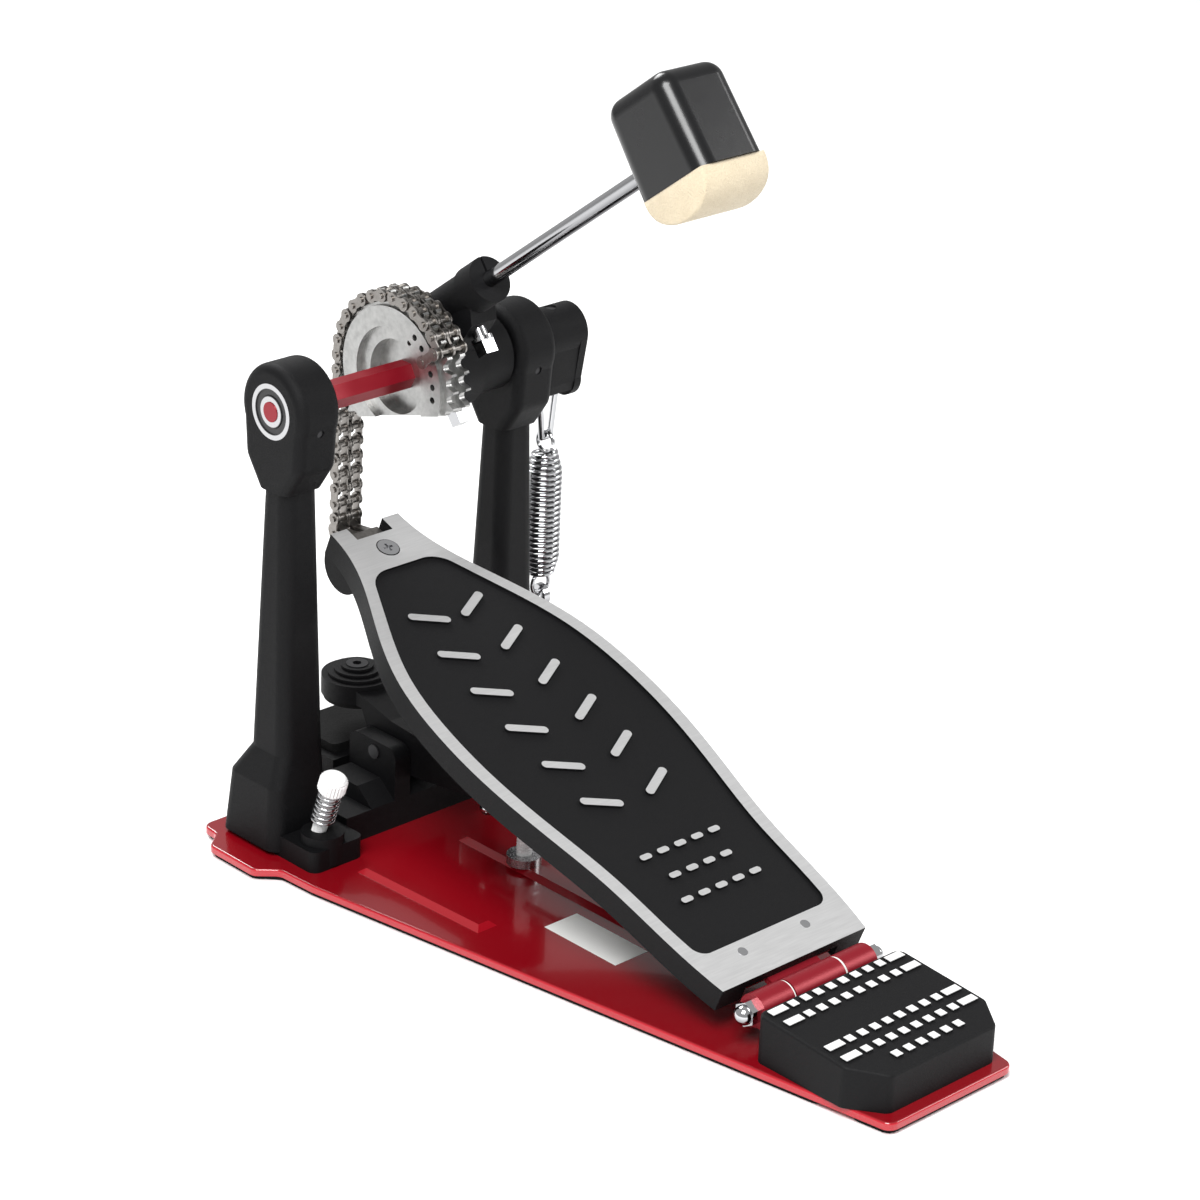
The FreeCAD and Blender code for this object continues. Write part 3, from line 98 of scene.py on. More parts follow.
class Finish:
    """A material whose pattern is worked out on Object coordinates."""

    def __init__(self, name, color=(0.5, 0.5, 0.5), **constants):
        self.material = bpy.data.materials.new(name)
        self.material.use_nodes = True
        self.tree = self.material.node_tree
        self.shader = self.tree.nodes["Principled BSDF"]
        self.shader.inputs["Base Color"].default_value = (*color, 1.0)
        for socket, value in constants.items():
            self.shader.inputs[socket.replace("_", " ")].default_value = value
        self.place = self.node("ShaderNodeTexCoord", {}, {}, "Object")

    def node(self, kind, settings, values, output=0):
        """Adds a node: its settings first, then the values or links of its sockets."""
        node = self.tree.nodes.new(kind)
        for key, value in settings.items():
            if key == "stops":
                for place, color in value:
                    stop = node.color_ramp.elements.new(place)
                    stop.color = (*color, 1.0)
            else:
                setattr(node, key, value)
        pairs = values.items() if isinstance(values, dict) else enumerate(values)
        for key, value in pairs:
            if isinstance(value, Value):
                self.tree.links.new(value.socket, node.inputs[key])
            elif value is not None:
                node.inputs[key].default_value = value
        return Value(self, node.outputs[output])

    def feed(self, socket, value):
        self.tree.links.new(value.socket, self.shader.inputs[socket])

    def noise(self, scale, detail=2.0, where=None, stretch=None):
        """Soft noise from 0 to 1, at a scale in ripples per metre."""
        place = where or self.place
        if stretch:
            place = self.node("ShaderNodeMapping", {}, {"Vector": place, "Scale": stretch})
        return self.node("ShaderNodeTexNoise", {}, {"Vector": place, "Scale": scale, "Detail": detail})

    def axis(self, name, source=None):
        """One coordinate of a place or a direction."""
        return self.node("ShaderNodeSeparateXYZ", {}, (source or self.place,), name)

    def along(self, direction, source=None):
        """How far a place lies along a direction."""
        settings = {"operation": "DOT_PRODUCT"}
        return self.node("ShaderNodeVectorMath", settings, (source or self.place, direction), "Value")

    def facing(self):
        """The direction the surface looks in, in the piece's own axes."""
        return self.node("ShaderNodeTexCoord", {}, {}, "Normal")

    def mix(self, mask, low, high):
        """low where the mask is 0 and high where it is 1, for colours."""
        factor, first, second, result = 0, 6, 7, 2      # places of a colour mix's sockets
        sockets = {factor: mask, first: self.colour(low), second: self.colour(high)}
        return self.node("ShaderNodeMix", {"data_type": "RGBA"}, sockets, result)

    def colour(self, value):
        return value if isinstance(value, Value) else (*value, 1.0)

    def bump(self, height, strength, distance=0.0002):
        values = {"Strength": strength, "Distance": distance, "Height": height}
        self.feed("Normal", self.node("ShaderNodeBump", {}, values, "Normal"))

    def on(self, *names):
        """Puts the finish on CAD nodes or pieces in place of whatever they wear."""
        for name in names:
            mesh = bpy.data.objects[name].data
            mesh.materials.clear()
            mesh.materials.append(self.material)


# %% [markdown]
# ## Enamel, powder coat and anodised red
# The base plate is dipped in deep glossy red. Its rolled edge and ridges carry a painted highlight: a lighter
# red on every face that slopes away from level. The castings are powder coated: nearly black, with a grain of
# about a third of a millimetre. The shaft and the hinge barrel wear a thin satin red. Each is one shader with
# noise for its grain.

# %% Enamelled plate
enamel = Finish("red_enamel", (0.20, 0.002, 0.006), Roughness=0.16, Coat_Weight=0.5, Coat_Roughness=0.05)
# Painted highlight: faces that slope away from level, such as the rolled edge and the ridges, get a lighter
# red.
level = enamel.axis("Z", enamel.facing())
painted_highlight = 1.0 - level.step(0.55, 0.93)
enamel.feed("Base Color", enamel.mix(painted_highlight, (0.20, 0.002, 0.006), (0.42, 0.008, 0.018)))
enamel.bump(enamel.noise(900.0, 1.0), 0.02)
enamel.on("base_plate")

# %% Powder-coated castings
GRAIN = 2600.0                  # grains per metre of powder coat
powder = Finish("powder_coat", (0.0025, 0.0025, 0.003), Roughness=0.55, Specular_IOR_Level=0.16)
grain = powder.noise(GRAIN, 3.0)
powder.feed("Roughness", grain * 0.22 + 0.47)
powder.bump(grain, 0.55, 0.00035)
powder.on("left_upright", "right_upright", "cross_bridge", "beater_hub", "spring_rocker", "clamp_arm")

# %% Anodised red
anodised = Finish("anodised_red", (0.24, 0.005, 0.014), Metallic=0.35, Roughness=0.34)
brushing = anodised.noise(700.0, 3.0, stretch=(0.05, 1.0, 1.0))
anodised.feed("Roughness", brushing * 0.12 + 0.28)
anodised.bump(brushing, 0.05)
anodised.on("hex_shaft", "heel_knuckles", "footboard_knuckle")
print("painted finishes:", enamel.material.name, powder.material.name, anodised.material.name)

# %% [markdown]
# ## Machined faces on a painted casting
# The footboard is painted black all over and then ground, so that bare metal shows on the rim and on
# the raised marks. The ground faces all lie in one sloping plane, so a mask that measures the height
# above that plane and the direction of the surface finds them without any drawing.

# %% Footboard: bare where it was ground
SLOPE = math.radians(20.72)
BOARD_NORMAL = (0.0, -math.sin(SLOPE), math.cos(SLOPE))
BOARD_RUN = (0.0, math.cos(SLOPE), math.sin(SLOPE))
BOARD_EDGE = Vector((0.0, -0.2241, 0.0258))
GROUND_DEPTH = 0.0004           # how far below the plane still counts as ground


def grind(finish, base_color, mask, metal, run):
    """Brushed metal where the mask is 1, rough black paint elsewhere."""
    streaks = finish.noise(1500.0, 4.0, stretch=run)
    paint = finish.noise(GRAIN, 3.0)
    bare = finish.mix(streaks, tuple(0.82 * c for c in base_color), base_color)
    finish.feed("Base Color", finish.mix(mask, (0.004, 0.004, 0.0045), bare))
    finish.feed("Metallic", mask * metal)
    finish.feed("Roughness", mask * (streaks * 0.16 + 0.30) + (1.0 - mask) * (paint * 0.2 + 0.5))
    finish.bump(mask * streaks * 0.15 + (1.0 - mask) * paint, 0.45, 0.0003)


board = Finish("ground_footboard", Specular_IOR_Level=0.17)
height = board.along(BOARD_NORMAL) - BOARD_EDGE.dot(Vector(BOARD_NORMAL))
looks_up = board.along(BOARD_NORMAL, board.facing()).step(0.90, 0.97)
ground = height.step(-GROUND_DEPTH - 0.0002, -GROUND_DEPTH) * looks_up
grind(board, (0.80, 0.80, 0.80), ground, 0.78, (0.06, 1.0, 1.0))
board.on("footboard")

# %% Heel block: only the tops of the raised squares are bare
HEEL_FALL = math.atan2(0.0245 - 0.0205, 0.298 - 0.241)
HEEL_NORMAL = (0.0, -math.sin(HEEL_FALL), math.cos(HEEL_FALL))
HEEL_FRONT_EDGE = Vector((0.0, -0.241, 0.0245))
heel = Finish("ground_heel", Specular_IOR_Level=0.17)
height = heel.along(HEEL_NORMAL) - HEEL_FRONT_EDGE.dot(Vector(HEEL_NORMAL))
ground = height.step(0.0006, 0.0007)
grind(heel, (0.92, 0.92, 0.92), ground, 0.35, (0.2, 1.0, 1.0))
heel.on("heel_block")
print("ground finishes:", board.material.name, heel.material.name)

# %% [markdown]
# ## Bare and plated metal, rubber, plastic and felt
# The wheel is cast and then faced, so it keeps a soft grain. The chain is dull grey steel. The rod, springs
# and nuts are plated, and the plating carries a painted reflection: its colour is painted dark where it faces
# down and bright where it faces up. The mats and pads are rubber, the beater's shell is polished black, and
# its face is pressed wool.

# %% Metals
cast = Finish("cast_aluminium", (0.60, 0.60, 0.59), Metallic=1.0, Roughness=0.34)
mottle = cast.noise(420.0, 5.0)
cast.feed("Roughness", mottle * 0.24 + 0.22)
cast.feed("Base Color", cast.mix(mottle, (0.22, 0.22, 0.215), (0.56, 0.56, 0.55)))
cast.bump(cast.noise(1800.0, 4.0), 0.25, 0.0002)
cast.on("chain_wheel")

chain_steel = Finish("chain_steel", (0.25, 0.235, 0.22), Metallic=1.0, Roughness=0.36)
wear = chain_steel.noise(650.0, 3.0)
chain_steel.feed("Base Color", chain_steel.mix(wear, (0.17, 0.16, 0.15), (0.36, 0.34, 0.32)))
chain_steel.feed("Roughness", wear * 0.2 + 0.26)
chain_steel.on("wrapped_pin_links", "wrapped_roller_links", "hanging_pin_links", "hanging_roller_links",
               "chain_anchor_link", "chain_connector", *["chain_link_%d" % k for k in range(1, 6)])

chrome = Finish("chrome", (0.74, 0.745, 0.76), Metallic=1.0, Roughness=0.10)
haze = chrome.noise(300.0, 2.0)
# Painted reflection: the plating is coloured dark on faces that look down and bright on faces that look up.
painted_reflection_up = chrome.axis("Z", chrome.facing()).step(-0.75, 0.45)
chrome.feed("Base Color", chrome.mix(painted_reflection_up, (0.07, 0.07, 0.075), (0.66, 0.665, 0.68)))
chrome.feed("Roughness", haze * 0.08 + 0.06)
PLATED = ["beater_rod", "hub_key_bolts", "spring_bail", "rocker_pin", "acorn_nuts", "hinge_rod",
          "eye_bolt_nut", "clamp_handle", "toe_screw", "footboard_rivets"]
chrome.on(*PLATED)

steel = Finish("plain_steel", (0.50, 0.50, 0.51), Metallic=1.0, Roughness=0.28)
turning = steel.noise(800.0, 3.0)
steel.feed("Roughness", turning * 0.14 + 0.20)
steel.on("clamp_nut", "clamp_screw_seat", "base_screws", "heel_screws")

# %% Bearings: steel rings with dark shields between them
SHIELD_FROM, SHIELD_TO = 0.0059, 0.0090     # radii from the shaft's axis
SHIELD_EDGE = 0.0002                        # how softly a shield's edge fades
SHAFT_HEIGHT = 0.188
bearing = Finish("bearing_steel", Metallic=1.0, Roughness=0.25)
flat = bearing.node("ShaderNodeMapping", {}, {"Vector": bearing.place, "Scale": (0.0, 1.0, 1.0)})
axle = (0.0, 0.0, SHAFT_HEIGHT)
radius = bearing.node("ShaderNodeVectorMath", {"operation": "DISTANCE"}, (flat, axle), "Value")
outside = radius.step(SHIELD_TO, SHIELD_TO + SHIELD_EDGE)
shield = radius.step(SHIELD_FROM, SHIELD_FROM + SHIELD_EDGE) * (1.0 - outside)
bearing.feed("Base Color", bearing.mix(shield, (0.50, 0.50, 0.51), (0.012, 0.012, 0.013)))
bearing.feed("Metallic", 1.0 - shield)
bearing.feed("Roughness", shield * 0.2 + 0.24)
bearing.on("bearing_outer_rings", "bearing_inner_rings", "bearing_balls")

dark_screw = Finish("blackened_steel", (0.03, 0.03, 0.032), Metallic=0.6, Roughness=0.35)
dark_screw.feed("Roughness", dark_screw.noise(900.0) * 0.15 + 0.28)
dark_screw.on("bearing_set_screws", "beater_set_screw", "rocker_set_screw", "clamp_jaw_screw",
              "clamp_pivot_pin")
print("plated pieces:", len(PLATED))

# %% Rubber, plastic, nylon and felt
rubber = Finish("rubber", (0.005, 0.005, 0.005), Roughness=0.75, Specular_IOR_Level=0.16)
crumb = rubber.noise(1400.0, 3.0)
rubber.feed("Roughness", crumb * 0.2 + 0.62)
rubber.bump(crumb, 0.5, 0.0004)
rubber.on("rubber_mats", "hoop_rest_pad", "clamp_jaw_pad")

shell = Finish("polished_shell", (0.005, 0.005, 0.0055), Roughness=0.27, Specular_IOR_Level=0.35,
               Coat_Weight=0.15, Coat_Roughness=0.15)
shell.feed("Roughness", shell.noise(160.0, 2.0) * 0.08 + 0.22)
shell.bump(shell.noise(260.0, 2.0), 0.04)
shell.on("beater_shell")

nylon = Finish("nylon", (0.72, 0.72, 0.69), Roughness=0.5)
nylon.feed("Roughness", nylon.noise(500.0) * 0.1 + 0.45)
nylon.on("hinge_washers")

wool = Finish("wool_felt", (0.76, 0.68, 0.52), Roughness=0.95, Sheen_Weight=0.25)
fluff = wool.noise(1500.0, 6.0)
patches = wool.noise(180.0, 3.0)
wool.feed("Base Color", wool.mix(fluff * 0.6 + patches * 0.4, (0.44, 0.36, 0.24), (0.70, 0.61, 0.45)))
wool.feed("Roughness", fluff * 0.1 + 0.88)
wool.bump(fluff, 0.9, 0.0006)
print("soft finishes:", rubber.material.name, shell.material.name, nylon.material.name, wool.material.name)

# %% [markdown]
# ## Geometry Nodes by script
# Springs, threads and knurls all repeat a shape along a rule. A tree with named inputs makes each
# of them, so its sizes stay readable. The helpers add nodes, name the inputs, run the tree once and
# turn the result into a plain mesh.

# %% Tree helpers


class Recipe:
    """A Geometry Nodes tree with named inputs, ending in Realize Instances and Set Material."""

    def __init__(self, name, finish, **inputs):
        self.tree = bpy.data.node_groups.new(name, "GeometryNodeTree")
        self.finish = finish
        self.values = inputs
        self.tree.interface.new_socket("Geometry", in_out="INPUT", socket_type="NodeSocketGeometry")
        self.keys = {}
        for key, value in inputs.items():
            kind = "NodeSocketInt" if isinstance(value, int) else "NodeSocketFloat"
            socket = self.tree.interface.new_socket(key, in_out="INPUT", socket_type=kind)
            self.keys[key] = socket.identifier
        self.tree.interface.new_socket("Geometry", in_out="OUTPUT", socket_type="NodeSocketGeometry")
        self.start = self.tree.nodes.new("NodeGroupInput")

    def given(self, key):
        return self.start.outputs[key]

    def node(self, kind, settings=None, values=None, output=0):
        node = self.tree.nodes.new(kind)
        for key, value in (settings or {}).items():
            setattr(node, key, value)
        pairs = values.items() if isinstance(values, dict) else enumerate(values or ())
        for key, value in pairs:
            if isinstance(value, bpy.types.NodeSocket):
                self.tree.links.new(value, node.inputs[key])
            elif value is not None:
                node.inputs[key].default_value = value
        return node.outputs[output]

    def math(self, operation, *values):
        return self.node("ShaderNodeMath", {"operation": operation}, values)

    def sweep_wire(self, path, sides):
        """A round wire of the tree's own thickness along a curve."""
        section = self.node("GeometryNodeCurvePrimitiveCircle", {}, {"Resolution": sides,
                                                                    "Radius": self.given("wire")})
        return self.node("GeometryNodeCurveToMesh", {}, {"Curve": path, "Profile Curve": section,
                                                         "Fill Caps": True})

    def mesh(self, name, geometry):
        """Finishes the tree and returns its result as a plain mesh object at the origin."""
        realized = self.node("GeometryNodeRealizeInstances", {}, (geometry,))
        painted = self.node("GeometryNodeSetMaterial", {}, {"Geometry": realized,
                                                            "Material": self.finish.material})
        end = self.tree.nodes.new("NodeGroupOutput")
        self.tree.links.new(painted, end.inputs[0])
        holder = bpy.data.objects.new(name + "_tree", bpy.data.meshes.new(name + "_tree"))
        bpy.context.scene.collection.objects.link(holder)
        modifier = holder.modifiers.new(name, "NODES")
        modifier.node_group = self.tree
        for key, identifier in self.keys.items():
            modifier[identifier] = self.values[key]
        bpy.context.view_layer.update()
        result = holder.evaluated_get(bpy.context.evaluated_depsgraph_get())
        made = bpy.data.meshes.new_from_object(result)
        holder.modifiers.clear()
        bpy.data.objects.remove(holder)
        made.name = name
        return made


def turned(mesh, position, axis):
    """Moves a mesh built up the Z axis so that it starts at a position and points along an axis."""
    turn = Vector((0, 0, 1)).rotation_difference(Vector(axis)).to_matrix().to_4x4()
    mesh.transform(Matrix.Translation(position) @ turn)
    return mesh


def piece(name, body, replaced, meshes, smooth=True):
    """Joins meshes into one piece that rides on a body and stands for CAD nodes."""
    whole = bmesh.new()
    for mesh in meshes:
        whole.from_mesh(mesh)
    joined = bpy.data.meshes.new(name)
    whole.to_mesh(joined)
    whole.free()
    joined.materials.clear()
    joined.materials.append(meshes[0].materials[0])
    joined.polygons.foreach_set("use_smooth", [smooth] * len(joined.polygons))
    made = bpy.data.objects.new(name, joined)
    bpy.context.scene.collection.objects.link(made)
    if body:
        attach(made, body)
    if replaced:
        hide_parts(*replaced)
    print(name, "has", len(joined.polygons), "faces")
    return made


# %% [markdown]
# ## Wound springs
# A spring is one wire swept along a helix. The tree draws a circle of points, turns it into a helix
# by moving each point up and out with its place along the line, and sweeps the wire round it. The
# return spring's ends narrow, so its radius falls towards both ends.

# %% The helix tree


def helix_mesh(name, finish, radius, end_radius, length, turns, wire, taper=0.0, sides=10, per_turn=28):
    """A wire wound up Z from the origin; its radius narrows to end_radius over the taper at each end."""
    recipe = Recipe(name, finish, radius=radius, end_radius=end_radius, length=length,
                    turns=float(turns), wire=wire, taper=max(taper, 1e-6),
                    points=int(turns * per_turn), sides=sides)
    line = recipe.node("GeometryNodeCurvePrimitiveLine", {}, {"End": (0.0, 0.0, 1.0)})
    points = recipe.node("GeometryNodeResampleCurve", {}, {"Curve": line, "Count": recipe.given("points")})
    share = recipe.node("GeometryNodeSplineParameter", {}, (), "Factor")
    angle = recipe.math("MULTIPLY", recipe.math("MULTIPLY", share, recipe.given("turns")), 2 * math.pi)
    rise = recipe.math("MULTIPLY", share, recipe.given("length"))
    to_end = recipe.math("MINIMUM", rise, recipe.math("SUBTRACT", recipe.given("length"), rise))
    inward = recipe.math("SUBTRACT", 1.0, recipe.math("MINIMUM", recipe.math("DIVIDE", to_end,
                                                                            recipe.given("taper")), 1.0))
    narrowing = recipe.math("SUBTRACT", recipe.given("radius"), recipe.given("end_radius"))
    reach = recipe.math("SUBTRACT", recipe.given("radius"), recipe.math("MULTIPLY", inward, narrowing))
    across = recipe.math("MULTIPLY", reach, recipe.math("COSINE", angle))
    ahead = recipe.math("MULTIPLY", reach, recipe.math("SINE", angle))
    place = recipe.node("ShaderNodeCombineXYZ", {}, (across, ahead, rise))
    coil = recipe.node("GeometryNodeSetPosition", {}, {"Geometry": points, "Position": place})
    return recipe.mesh(name, recipe.sweep_wire(coil, recipe.given("sides")))


# %% The return spring with its two hooks
WIRE_R = 0.0009
SPRING_X = 0.078
SPRING_FOOT, SPRING_TOP = 0.082, 0.138
COIL_R, COIL_END_R, HOOK_R = 0.0067, 0.0046, 0.0046
COIL_WIRE_R, COIL_TURNS, COIL_TAPER = 0.00085, 24, 0.008
HOOK_REACH = 0.0034             # a hook's centre, beyond the last coil
HOOK_START, HOOK_SWEEP = -60.0, 330.0


def ring_mesh(name, finish, radius, wire, centre, axis, start=0.0, sweep=360.0):
    """A bent wire: part of a ring about an axis, or all of it."""
    recipe = Recipe(name, finish, radius=radius, wire=wire, start=math.radians(start),
                    sweep=math.radians(sweep))
    arc = recipe.node("GeometryNodeCurveArc", {}, {"Resolution": 36, "Radius": recipe.given("radius"),
                                                   "Start Angle": recipe.given("start"),
                                                   "Sweep Angle": recipe.given("sweep")})
    return turned(recipe.mesh(name, recipe.sweep_wire(arc, 10)), centre, axis)


coils = helix_mesh("coils", chrome, COIL_R, COIL_END_R, SPRING_TOP - SPRING_FOOT - 2 * WIRE_R,
                   COIL_TURNS, COIL_WIRE_R, COIL_TAPER)
coils = turned(coils, (SPRING_X, 0.0, SPRING_FOOT + WIRE_R), (0, 0, 1))
top_ring, low_ring = (SPRING_X, 0.0, SPRING_TOP + HOOK_REACH), (SPRING_X, 0.0, SPRING_FOOT - HOOK_REACH)
upper = ring_mesh("upper_hook", chrome, HOOK_R, WIRE_R, top_ring, (1, 0, 0), HOOK_START, HOOK_SWEEP)
lower = ring_mesh("lower_hook", chrome, HOOK_R, WIRE_R, low_ring, (0, 1, 0), HOOK_START, HOOK_SWEEP)
spring = piece("return_spring_wire", None, ["return_spring"], [coils, upper, lower])
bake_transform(spring)

# %% [markdown]
# ## Spurs
# A spur is a pointed screw with a fluted head, and a spring round its thread keeps it from rattling.
# The thread is a thin helix on the core, and the flutes are small ridges copied round the head.

# %% Threads and ridges


def rod_mesh(name, finish, radius, length, sides=48, tip=None):
    """A plain round bar up Z from the origin, or a cone when a tip radius is given."""
    recipe = Recipe(name, finish, radius=radius, length=length, sides=sides,
                    tip=radius if tip is None else tip)
    cone = recipe.node("GeometryNodeMeshCone", {}, {"Vertices": recipe.given("sides"),
                                                    "Radius Top": recipe.given("tip"),
                                                    "Radius Bottom": recipe.given("radius"),
                                                    "Depth": recipe.given("length")})
    return recipe.mesh(name, cone)


def thread_mesh(name, finish, radius, length, pitch, depth=0.0003):
    """A core with a round-topped thread wound on it."""
    core = rod_mesh(name + "_core", finish, radius - depth, length)
    ridge = helix_mesh(name + "_ridge", finish, radius - depth, radius - depth, length - 2 * depth,
                       length / pitch, depth, sides=6, per_turn=24)
    ridge.transform(Matrix.Translation((0.0, 0.0, depth)))
    return [core, ridge]


def knurl_mesh(name, finish, radius, length, count, depth):
    """A round head with straight ridges copied round it."""
    recipe = Recipe(name, finish, radius=radius - depth, length=length, count=count, ridge=depth)
    body = recipe.node("GeometryNodeMeshCylinder", {}, {"Vertices": 64, "Radius": recipe.given("radius"),
                                                        "Depth": recipe.given("length")})
    body = recipe.node("GeometryNodeTransform", {}, {"Geometry": body, "Translation": (0.0, 0.0, length / 2)})
    spots = recipe.node("GeometryNodeMeshCircle", {}, {"Vertices": recipe.given("count"),
                                                       "Radius": recipe.given("radius")})
    across = recipe.math("MULTIPLY", recipe.given("ridge"), 1.7)
    tall = recipe.math("MULTIPLY", recipe.given("length"), 0.8)
    size = recipe.node("ShaderNodeCombineXYZ", {}, (across, across, tall))
    ridge = recipe.node("GeometryNodeMeshCube", {}, {"Size": size})
    ridge = recipe.node("GeometryNodeTransform", {}, {"Geometry": ridge, "Rotation": (0.0, 0.0, math.pi / 4),
                                                      "Translation": (0.0, 0.0, length / 2)})
    at = recipe.node("GeometryNodeInputPosition")
    turn = recipe.node("FunctionNodeAlignRotationToVector", {"axis": "X"}, {"Vector": at})
    ridges = recipe.node("GeometryNodeInstanceOnPoints", {}, {"Points": spots, "Instance": ridge,
                                                              "Rotation": turn})
    both = recipe.node("GeometryNodeJoinGeometry", {}, {"Geometry": body})
    recipe.tree.links.new(ridges, both.node.inputs["Geometry"])
    return recipe.mesh(name, both)


# %% Both spurs and their springs
SPUR_X = 0.058
SPUR_TIP = Vector((0.0, -0.0186, 0.0080))
SPUR_TOP = Vector((0.0, -0.0310, 0.0440))
SPUR_AXIS = (SPUR_TOP - SPUR_TIP).normalized()
SPUR_LENGTH = (SPUR_TOP - SPUR_TIP).length
HEAD_HEIGHT, POINT_HEIGHT = 0.007, 0.005
SPUR_R, SPUR_HEAD_R, SPUR_PITCH = 0.003, 0.0056, 0.001
CAP_HEIGHT = 0.0008             # bevelled top of a spur's head
FLUTE_DEPTH = 0.0005
COIL_LOW, SPUR_COIL_R, SPUR_COIL_WIRE_R, SPUR_COIL_TURNS = 0.0146, 0.0044, 0.0006, 6
for side, word in ((-1, "left"), (1, "right")):
    foot = SPUR_TIP + Vector((side * SPUR_X, 0.0, 0.0))
    neck = foot + SPUR_AXIS * (SPUR_LENGTH - HEAD_HEIGHT)
    point = turned(rod_mesh("point", chrome, 0.0004, POINT_HEIGHT, 24, SPUR_R), foot, SPUR_AXIS)
    thread = thread_mesh("shank", chrome, SPUR_R, SPUR_LENGTH - HEAD_HEIGHT - POINT_HEIGHT, SPUR_PITCH)
    shank = [turned(m, foot + SPUR_AXIS * POINT_HEIGHT, SPUR_AXIS) for m in thread]
    head = knurl_mesh("head", chrome, SPUR_HEAD_R, HEAD_HEIGHT - CAP_HEIGHT, 26, FLUTE_DEPTH)
    cap = rod_mesh("cap", chrome, 0.0050, CAP_HEIGHT, 48, 0.0042)
    head = turned(head, neck, SPUR_AXIS)
    cap = turned(cap, foot + SPUR_AXIS * (SPUR_LENGTH - CAP_HEIGHT), SPUR_AXIS)
    piece(word + "_spur_screw", word + "_spur", [word + "_spur"], [point, *shank, head, cap], False)
    coil_length = SPUR_LENGTH - HEAD_HEIGHT - 0.0004 - COIL_LOW - 2 * SPUR_COIL_WIRE_R
    coil = helix_mesh("coil", chrome, SPUR_COIL_R, SPUR_COIL_R, coil_length, SPUR_COIL_TURNS,
                      SPUR_COIL_WIRE_R)
    coil = turned(coil, foot + SPUR_AXIS * (COIL_LOW + SPUR_COIL_WIRE_R), SPUR_AXIS)
    wound = piece(word + "_spur_coil", None, [word + "_spur_spring"], [coil])
    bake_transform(wound)

# %% [markdown]
# ## Threads and knobs on the spring and the clamp
# The eye bolt hangs the return spring from its lug, and a knurled nut below sets the tension. The
# clamp's upright screw has a coarser thread. CAD keeps both as plain bars, so each is rebuilt with
# its thread; the eye itself stays as CAD made it.

# %% Tension nut, clamp screw and eye bolt
UPRIGHT = (0, 0, 1)
nut = turned(knurl_mesh("nut", chrome, 0.0060, 0.0080, 30, FLUTE_DEPTH), (SPRING_X, 0.0, 0.036), UPRIGHT)
piece("tension_nut_knurled", "tension_nut", ["tension_nut"], [nut], False)

CLAMP_Y = -0.078
screw = [turned(m, (0.0, CLAMP_Y, 0.0072), UPRIGHT)
         for m in thread_mesh("screw", steel, 0.0032, 0.0427, 0.00125)]
piece("clamp_screw_threaded", "clamp_key", ["clamp_screw"], screw, False)

bolt_thread = [turned(m, (SPRING_X, 0.0, 0.030), UPRIGHT)
               for m in thread_mesh("bolt", chrome, 0.0030, 0.037, 0.001)]
piece("eye_bolt_thread", "base", [], bolt_thread, False)
chrome.on("eye_bolt")

# %% [markdown]
# ## The beater's felt face
# Pressed wool has a rounded edge and no sharp corner. Its cross-section is a low arch that sits
# against the shell, with its ends drawn in a little, so the mesh is built from arches of points that
# shrink at both ends.

# %% Felt built from arches
LEAN = math.radians(52.6)
UP_ROD = Vector((0.0, -math.sin(LEAN), math.cos(LEAN)))
TO_DRUM = Vector((0.0, math.cos(LEAN), math.sin(LEAN)))
SHAFT = Vector((0.0, 0.0, SHAFT_HEIGHT))
FELT_X, FELT_HALF = 0.018, 0.0163
FELT_MIDDLE, FELT_CHORD, FELT_BULGE, SEAM = 0.1785, 0.0174, 0.0138, 0.0049
FELT_EDGE = 0.0010              # how far the end faces are rounded over


def felt_mesh():
    """Arches across the width, drawn in at both ends, closed by flat end caps."""
    steps, arches = 40, []
    insets = [(0.0, 1.0), (0.15, 0.55), (0.5, 0.16), (1.0, 0.0)]
    stations = [(-FELT_HALF + FELT_EDGE * t, FELT_EDGE * g) for t, g in insets]
    stations += [(-x, g) for x, g in reversed(stations)]
    for x, drawn in stations:
        row = []
        for k in range(steps + 1):
            angle = math.pi * k / steps
            along = math.cos(angle) * (FELT_CHORD - drawn)
            out = math.sin(angle) ** 0.8 * (FELT_BULGE - drawn) if 0 < k < steps else 0.0
            spot = SHAFT + UP_ROD * (FELT_MIDDLE + along) + TO_DRUM * (SEAM - out)
            row.append((FELT_X + x, spot.y, spot.z))
        arches.append(row)
    verts = [p for row in arches for p in row]
    width = steps + 1
    faces = []
    for r in range(len(arches) - 1):
        for k in range(steps):
            a = r * width + k
            faces.append((a, a + 1, a + width + 1, a + width))
        faces.append((r * width + steps, r * width, (r + 1) * width, (r + 1) * width + steps))
    faces.append(tuple(reversed(range(width))))
    faces.append(tuple(range((len(arches) - 1) * width, len(arches) * width)))
    mesh = bpy.data.meshes.new("felt")
    mesh.from_pydata(verts, [], faces)
    mesh.materials.append(wool.material)
    return mesh


felt = piece("felt_face", None, [], [felt_mesh()])
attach(felt, "beater_head")
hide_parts("beater_felt")

# %% [markdown]
# ## The plain label
# A thin paper label is stuck on the plate beside the middle ridge. It carries no print here.

# %% Label
paper = Finish("paper", (0.80, 0.80, 0.78), Roughness=0.6)
paper.feed("Roughness", paper.noise(700.0) * 0.1 + 0.52)
LABEL = (-0.028, -0.011, -0.159, -0.120)
LABEL_Z, LABEL_THICK = 0.0050, 0.00012


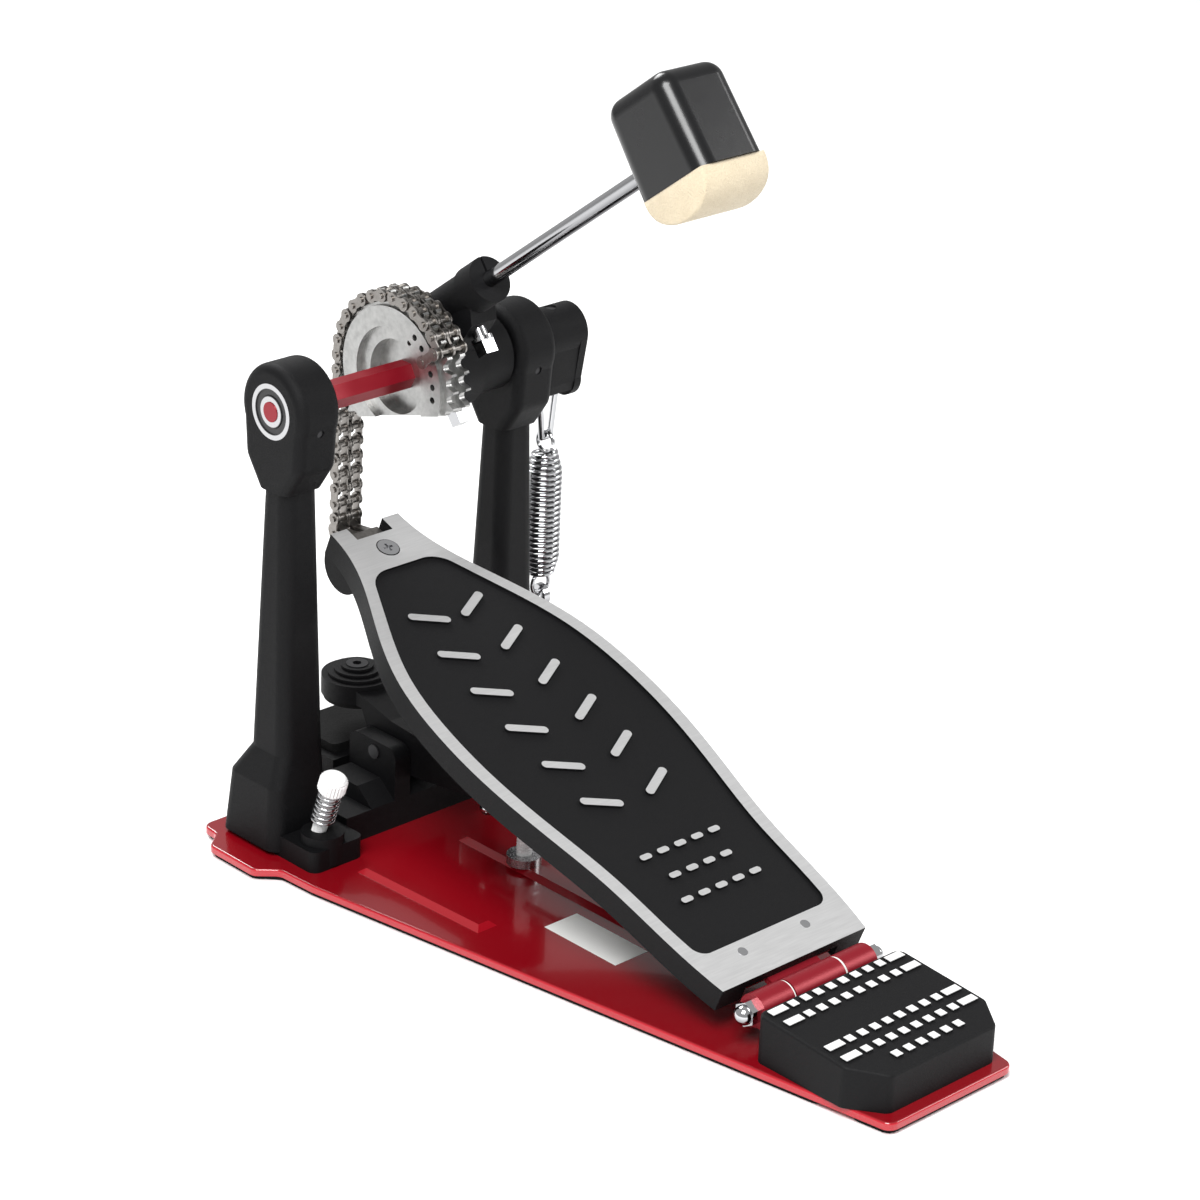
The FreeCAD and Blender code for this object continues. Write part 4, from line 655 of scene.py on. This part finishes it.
def label_mesh():
    x0, x1, y0, y1 = LABEL
    z0, z1 = LABEL_Z, LABEL_Z + LABEL_THICK
    verts = [(x, y, z) for z in (z0, z1) for x, y in ((x0, y0), (x1, y0), (x1, y1), (x0, y1))]
    faces = [(3, 2, 1, 0), (4, 5, 6, 7), (0, 1, 5, 4), (1, 2, 6, 5), (2, 3, 7, 6), (3, 0, 4, 7)]
    mesh = bpy.data.meshes.new("label")
    mesh.from_pydata(verts, [], faces)
    mesh.materials.append(paper.material)
    return mesh


piece("blank_label", "base", [], [label_mesh()], False)

# %% [markdown]
# ## Studio
# A pale floor, a large soft light above and to the left, weaker ones from the right and from behind,
# and a grey world give even light with broad reflections on the enamel and the plating.

# %% Floor and lights
floor_finish = Finish("studio_floor", (0.93, 0.93, 0.93), Roughness=0.7)
floor_mesh = bpy.data.meshes.new("studio_floor")
REACH, UNDER = 6.0, -0.0002
square = [(-1, -1), (1, -1), (1, 1), (-1, 1)]
floor_mesh.from_pydata([(x * REACH, y * REACH, UNDER) for x, y in square], [], [(0, 1, 2, 3)])
floor_mesh.materials.append(floor_finish.material)
floor = bpy.data.objects.new("studio_floor", floor_mesh)
bpy.context.scene.collection.objects.link(floor)


def soft_light(name, place, aim, size, power):
    light = bpy.data.lights.new(name, "AREA")
    light.size = size
    light.energy = power
    lamp = bpy.data.objects.new(name, light)
    lamp.location = place
    lamp.rotation_euler = (Vector(aim) - Vector(place)).to_track_quat("-Z", "Y").to_euler()
    bpy.context.scene.collection.objects.link(lamp)
    return lamp


CENTRE = (0.0, -0.10, 0.12)
soft_light("key", (-0.9, -0.7, 1.5), CENTRE, 0.9, 44.0)
soft_light("fill", (1.3, -0.9, 0.9), CENTRE, 0.7, 10.0)
soft_light("back", (0.3, 1.3, 1.3), CENTRE, 0.8, 22.0)
world = bpy.data.worlds.new("studio")
world.use_nodes = True
sky = world.node_tree.nodes["Background"]
sky.inputs["Color"].default_value = (1.0, 1.0, 1.0, 1.0)
sky.inputs["Strength"].default_value = 0.42
bpy.context.scene.world = world

# %% [markdown]
# ## Camera
# A long lens from the player's left, a little above the pedal and turned slightly about its axis.

# %% Place the camera
CAMERA_AT = Vector((-0.9424, -1.0630, 0.7195))
AZIMUTH, ELEVATION, ROLL = math.radians(-44.8), math.radians(23.72), math.radians(2.54)
LENS, SENSOR = 117.0, 36.0
backwards = Vector((math.sin(AZIMUTH) * math.cos(ELEVATION), -math.cos(AZIMUTH) * math.cos(ELEVATION),
                    math.sin(ELEVATION)))
level_right = Vector((math.cos(AZIMUTH), math.sin(AZIMUTH), 0.0))
level_up = backwards.cross(level_right)
right = level_right * math.cos(ROLL) + level_up * math.sin(ROLL)
up = level_up * math.cos(ROLL) - level_right * math.sin(ROLL)
lens = bpy.data.cameras.new("camera")
lens.lens = LENS
lens.sensor_width = SENSOR
camera = bpy.data.objects.new("camera", lens)
turn = Matrix((right, up, backwards)).transposed().to_4x4()
camera.matrix_world = Matrix.Translation(CAMERA_AT) @ turn
bpy.context.scene.collection.objects.link(camera)
bpy.context.scene.camera = camera
bpy.context.scene.view_settings.view_transform = "Standard"
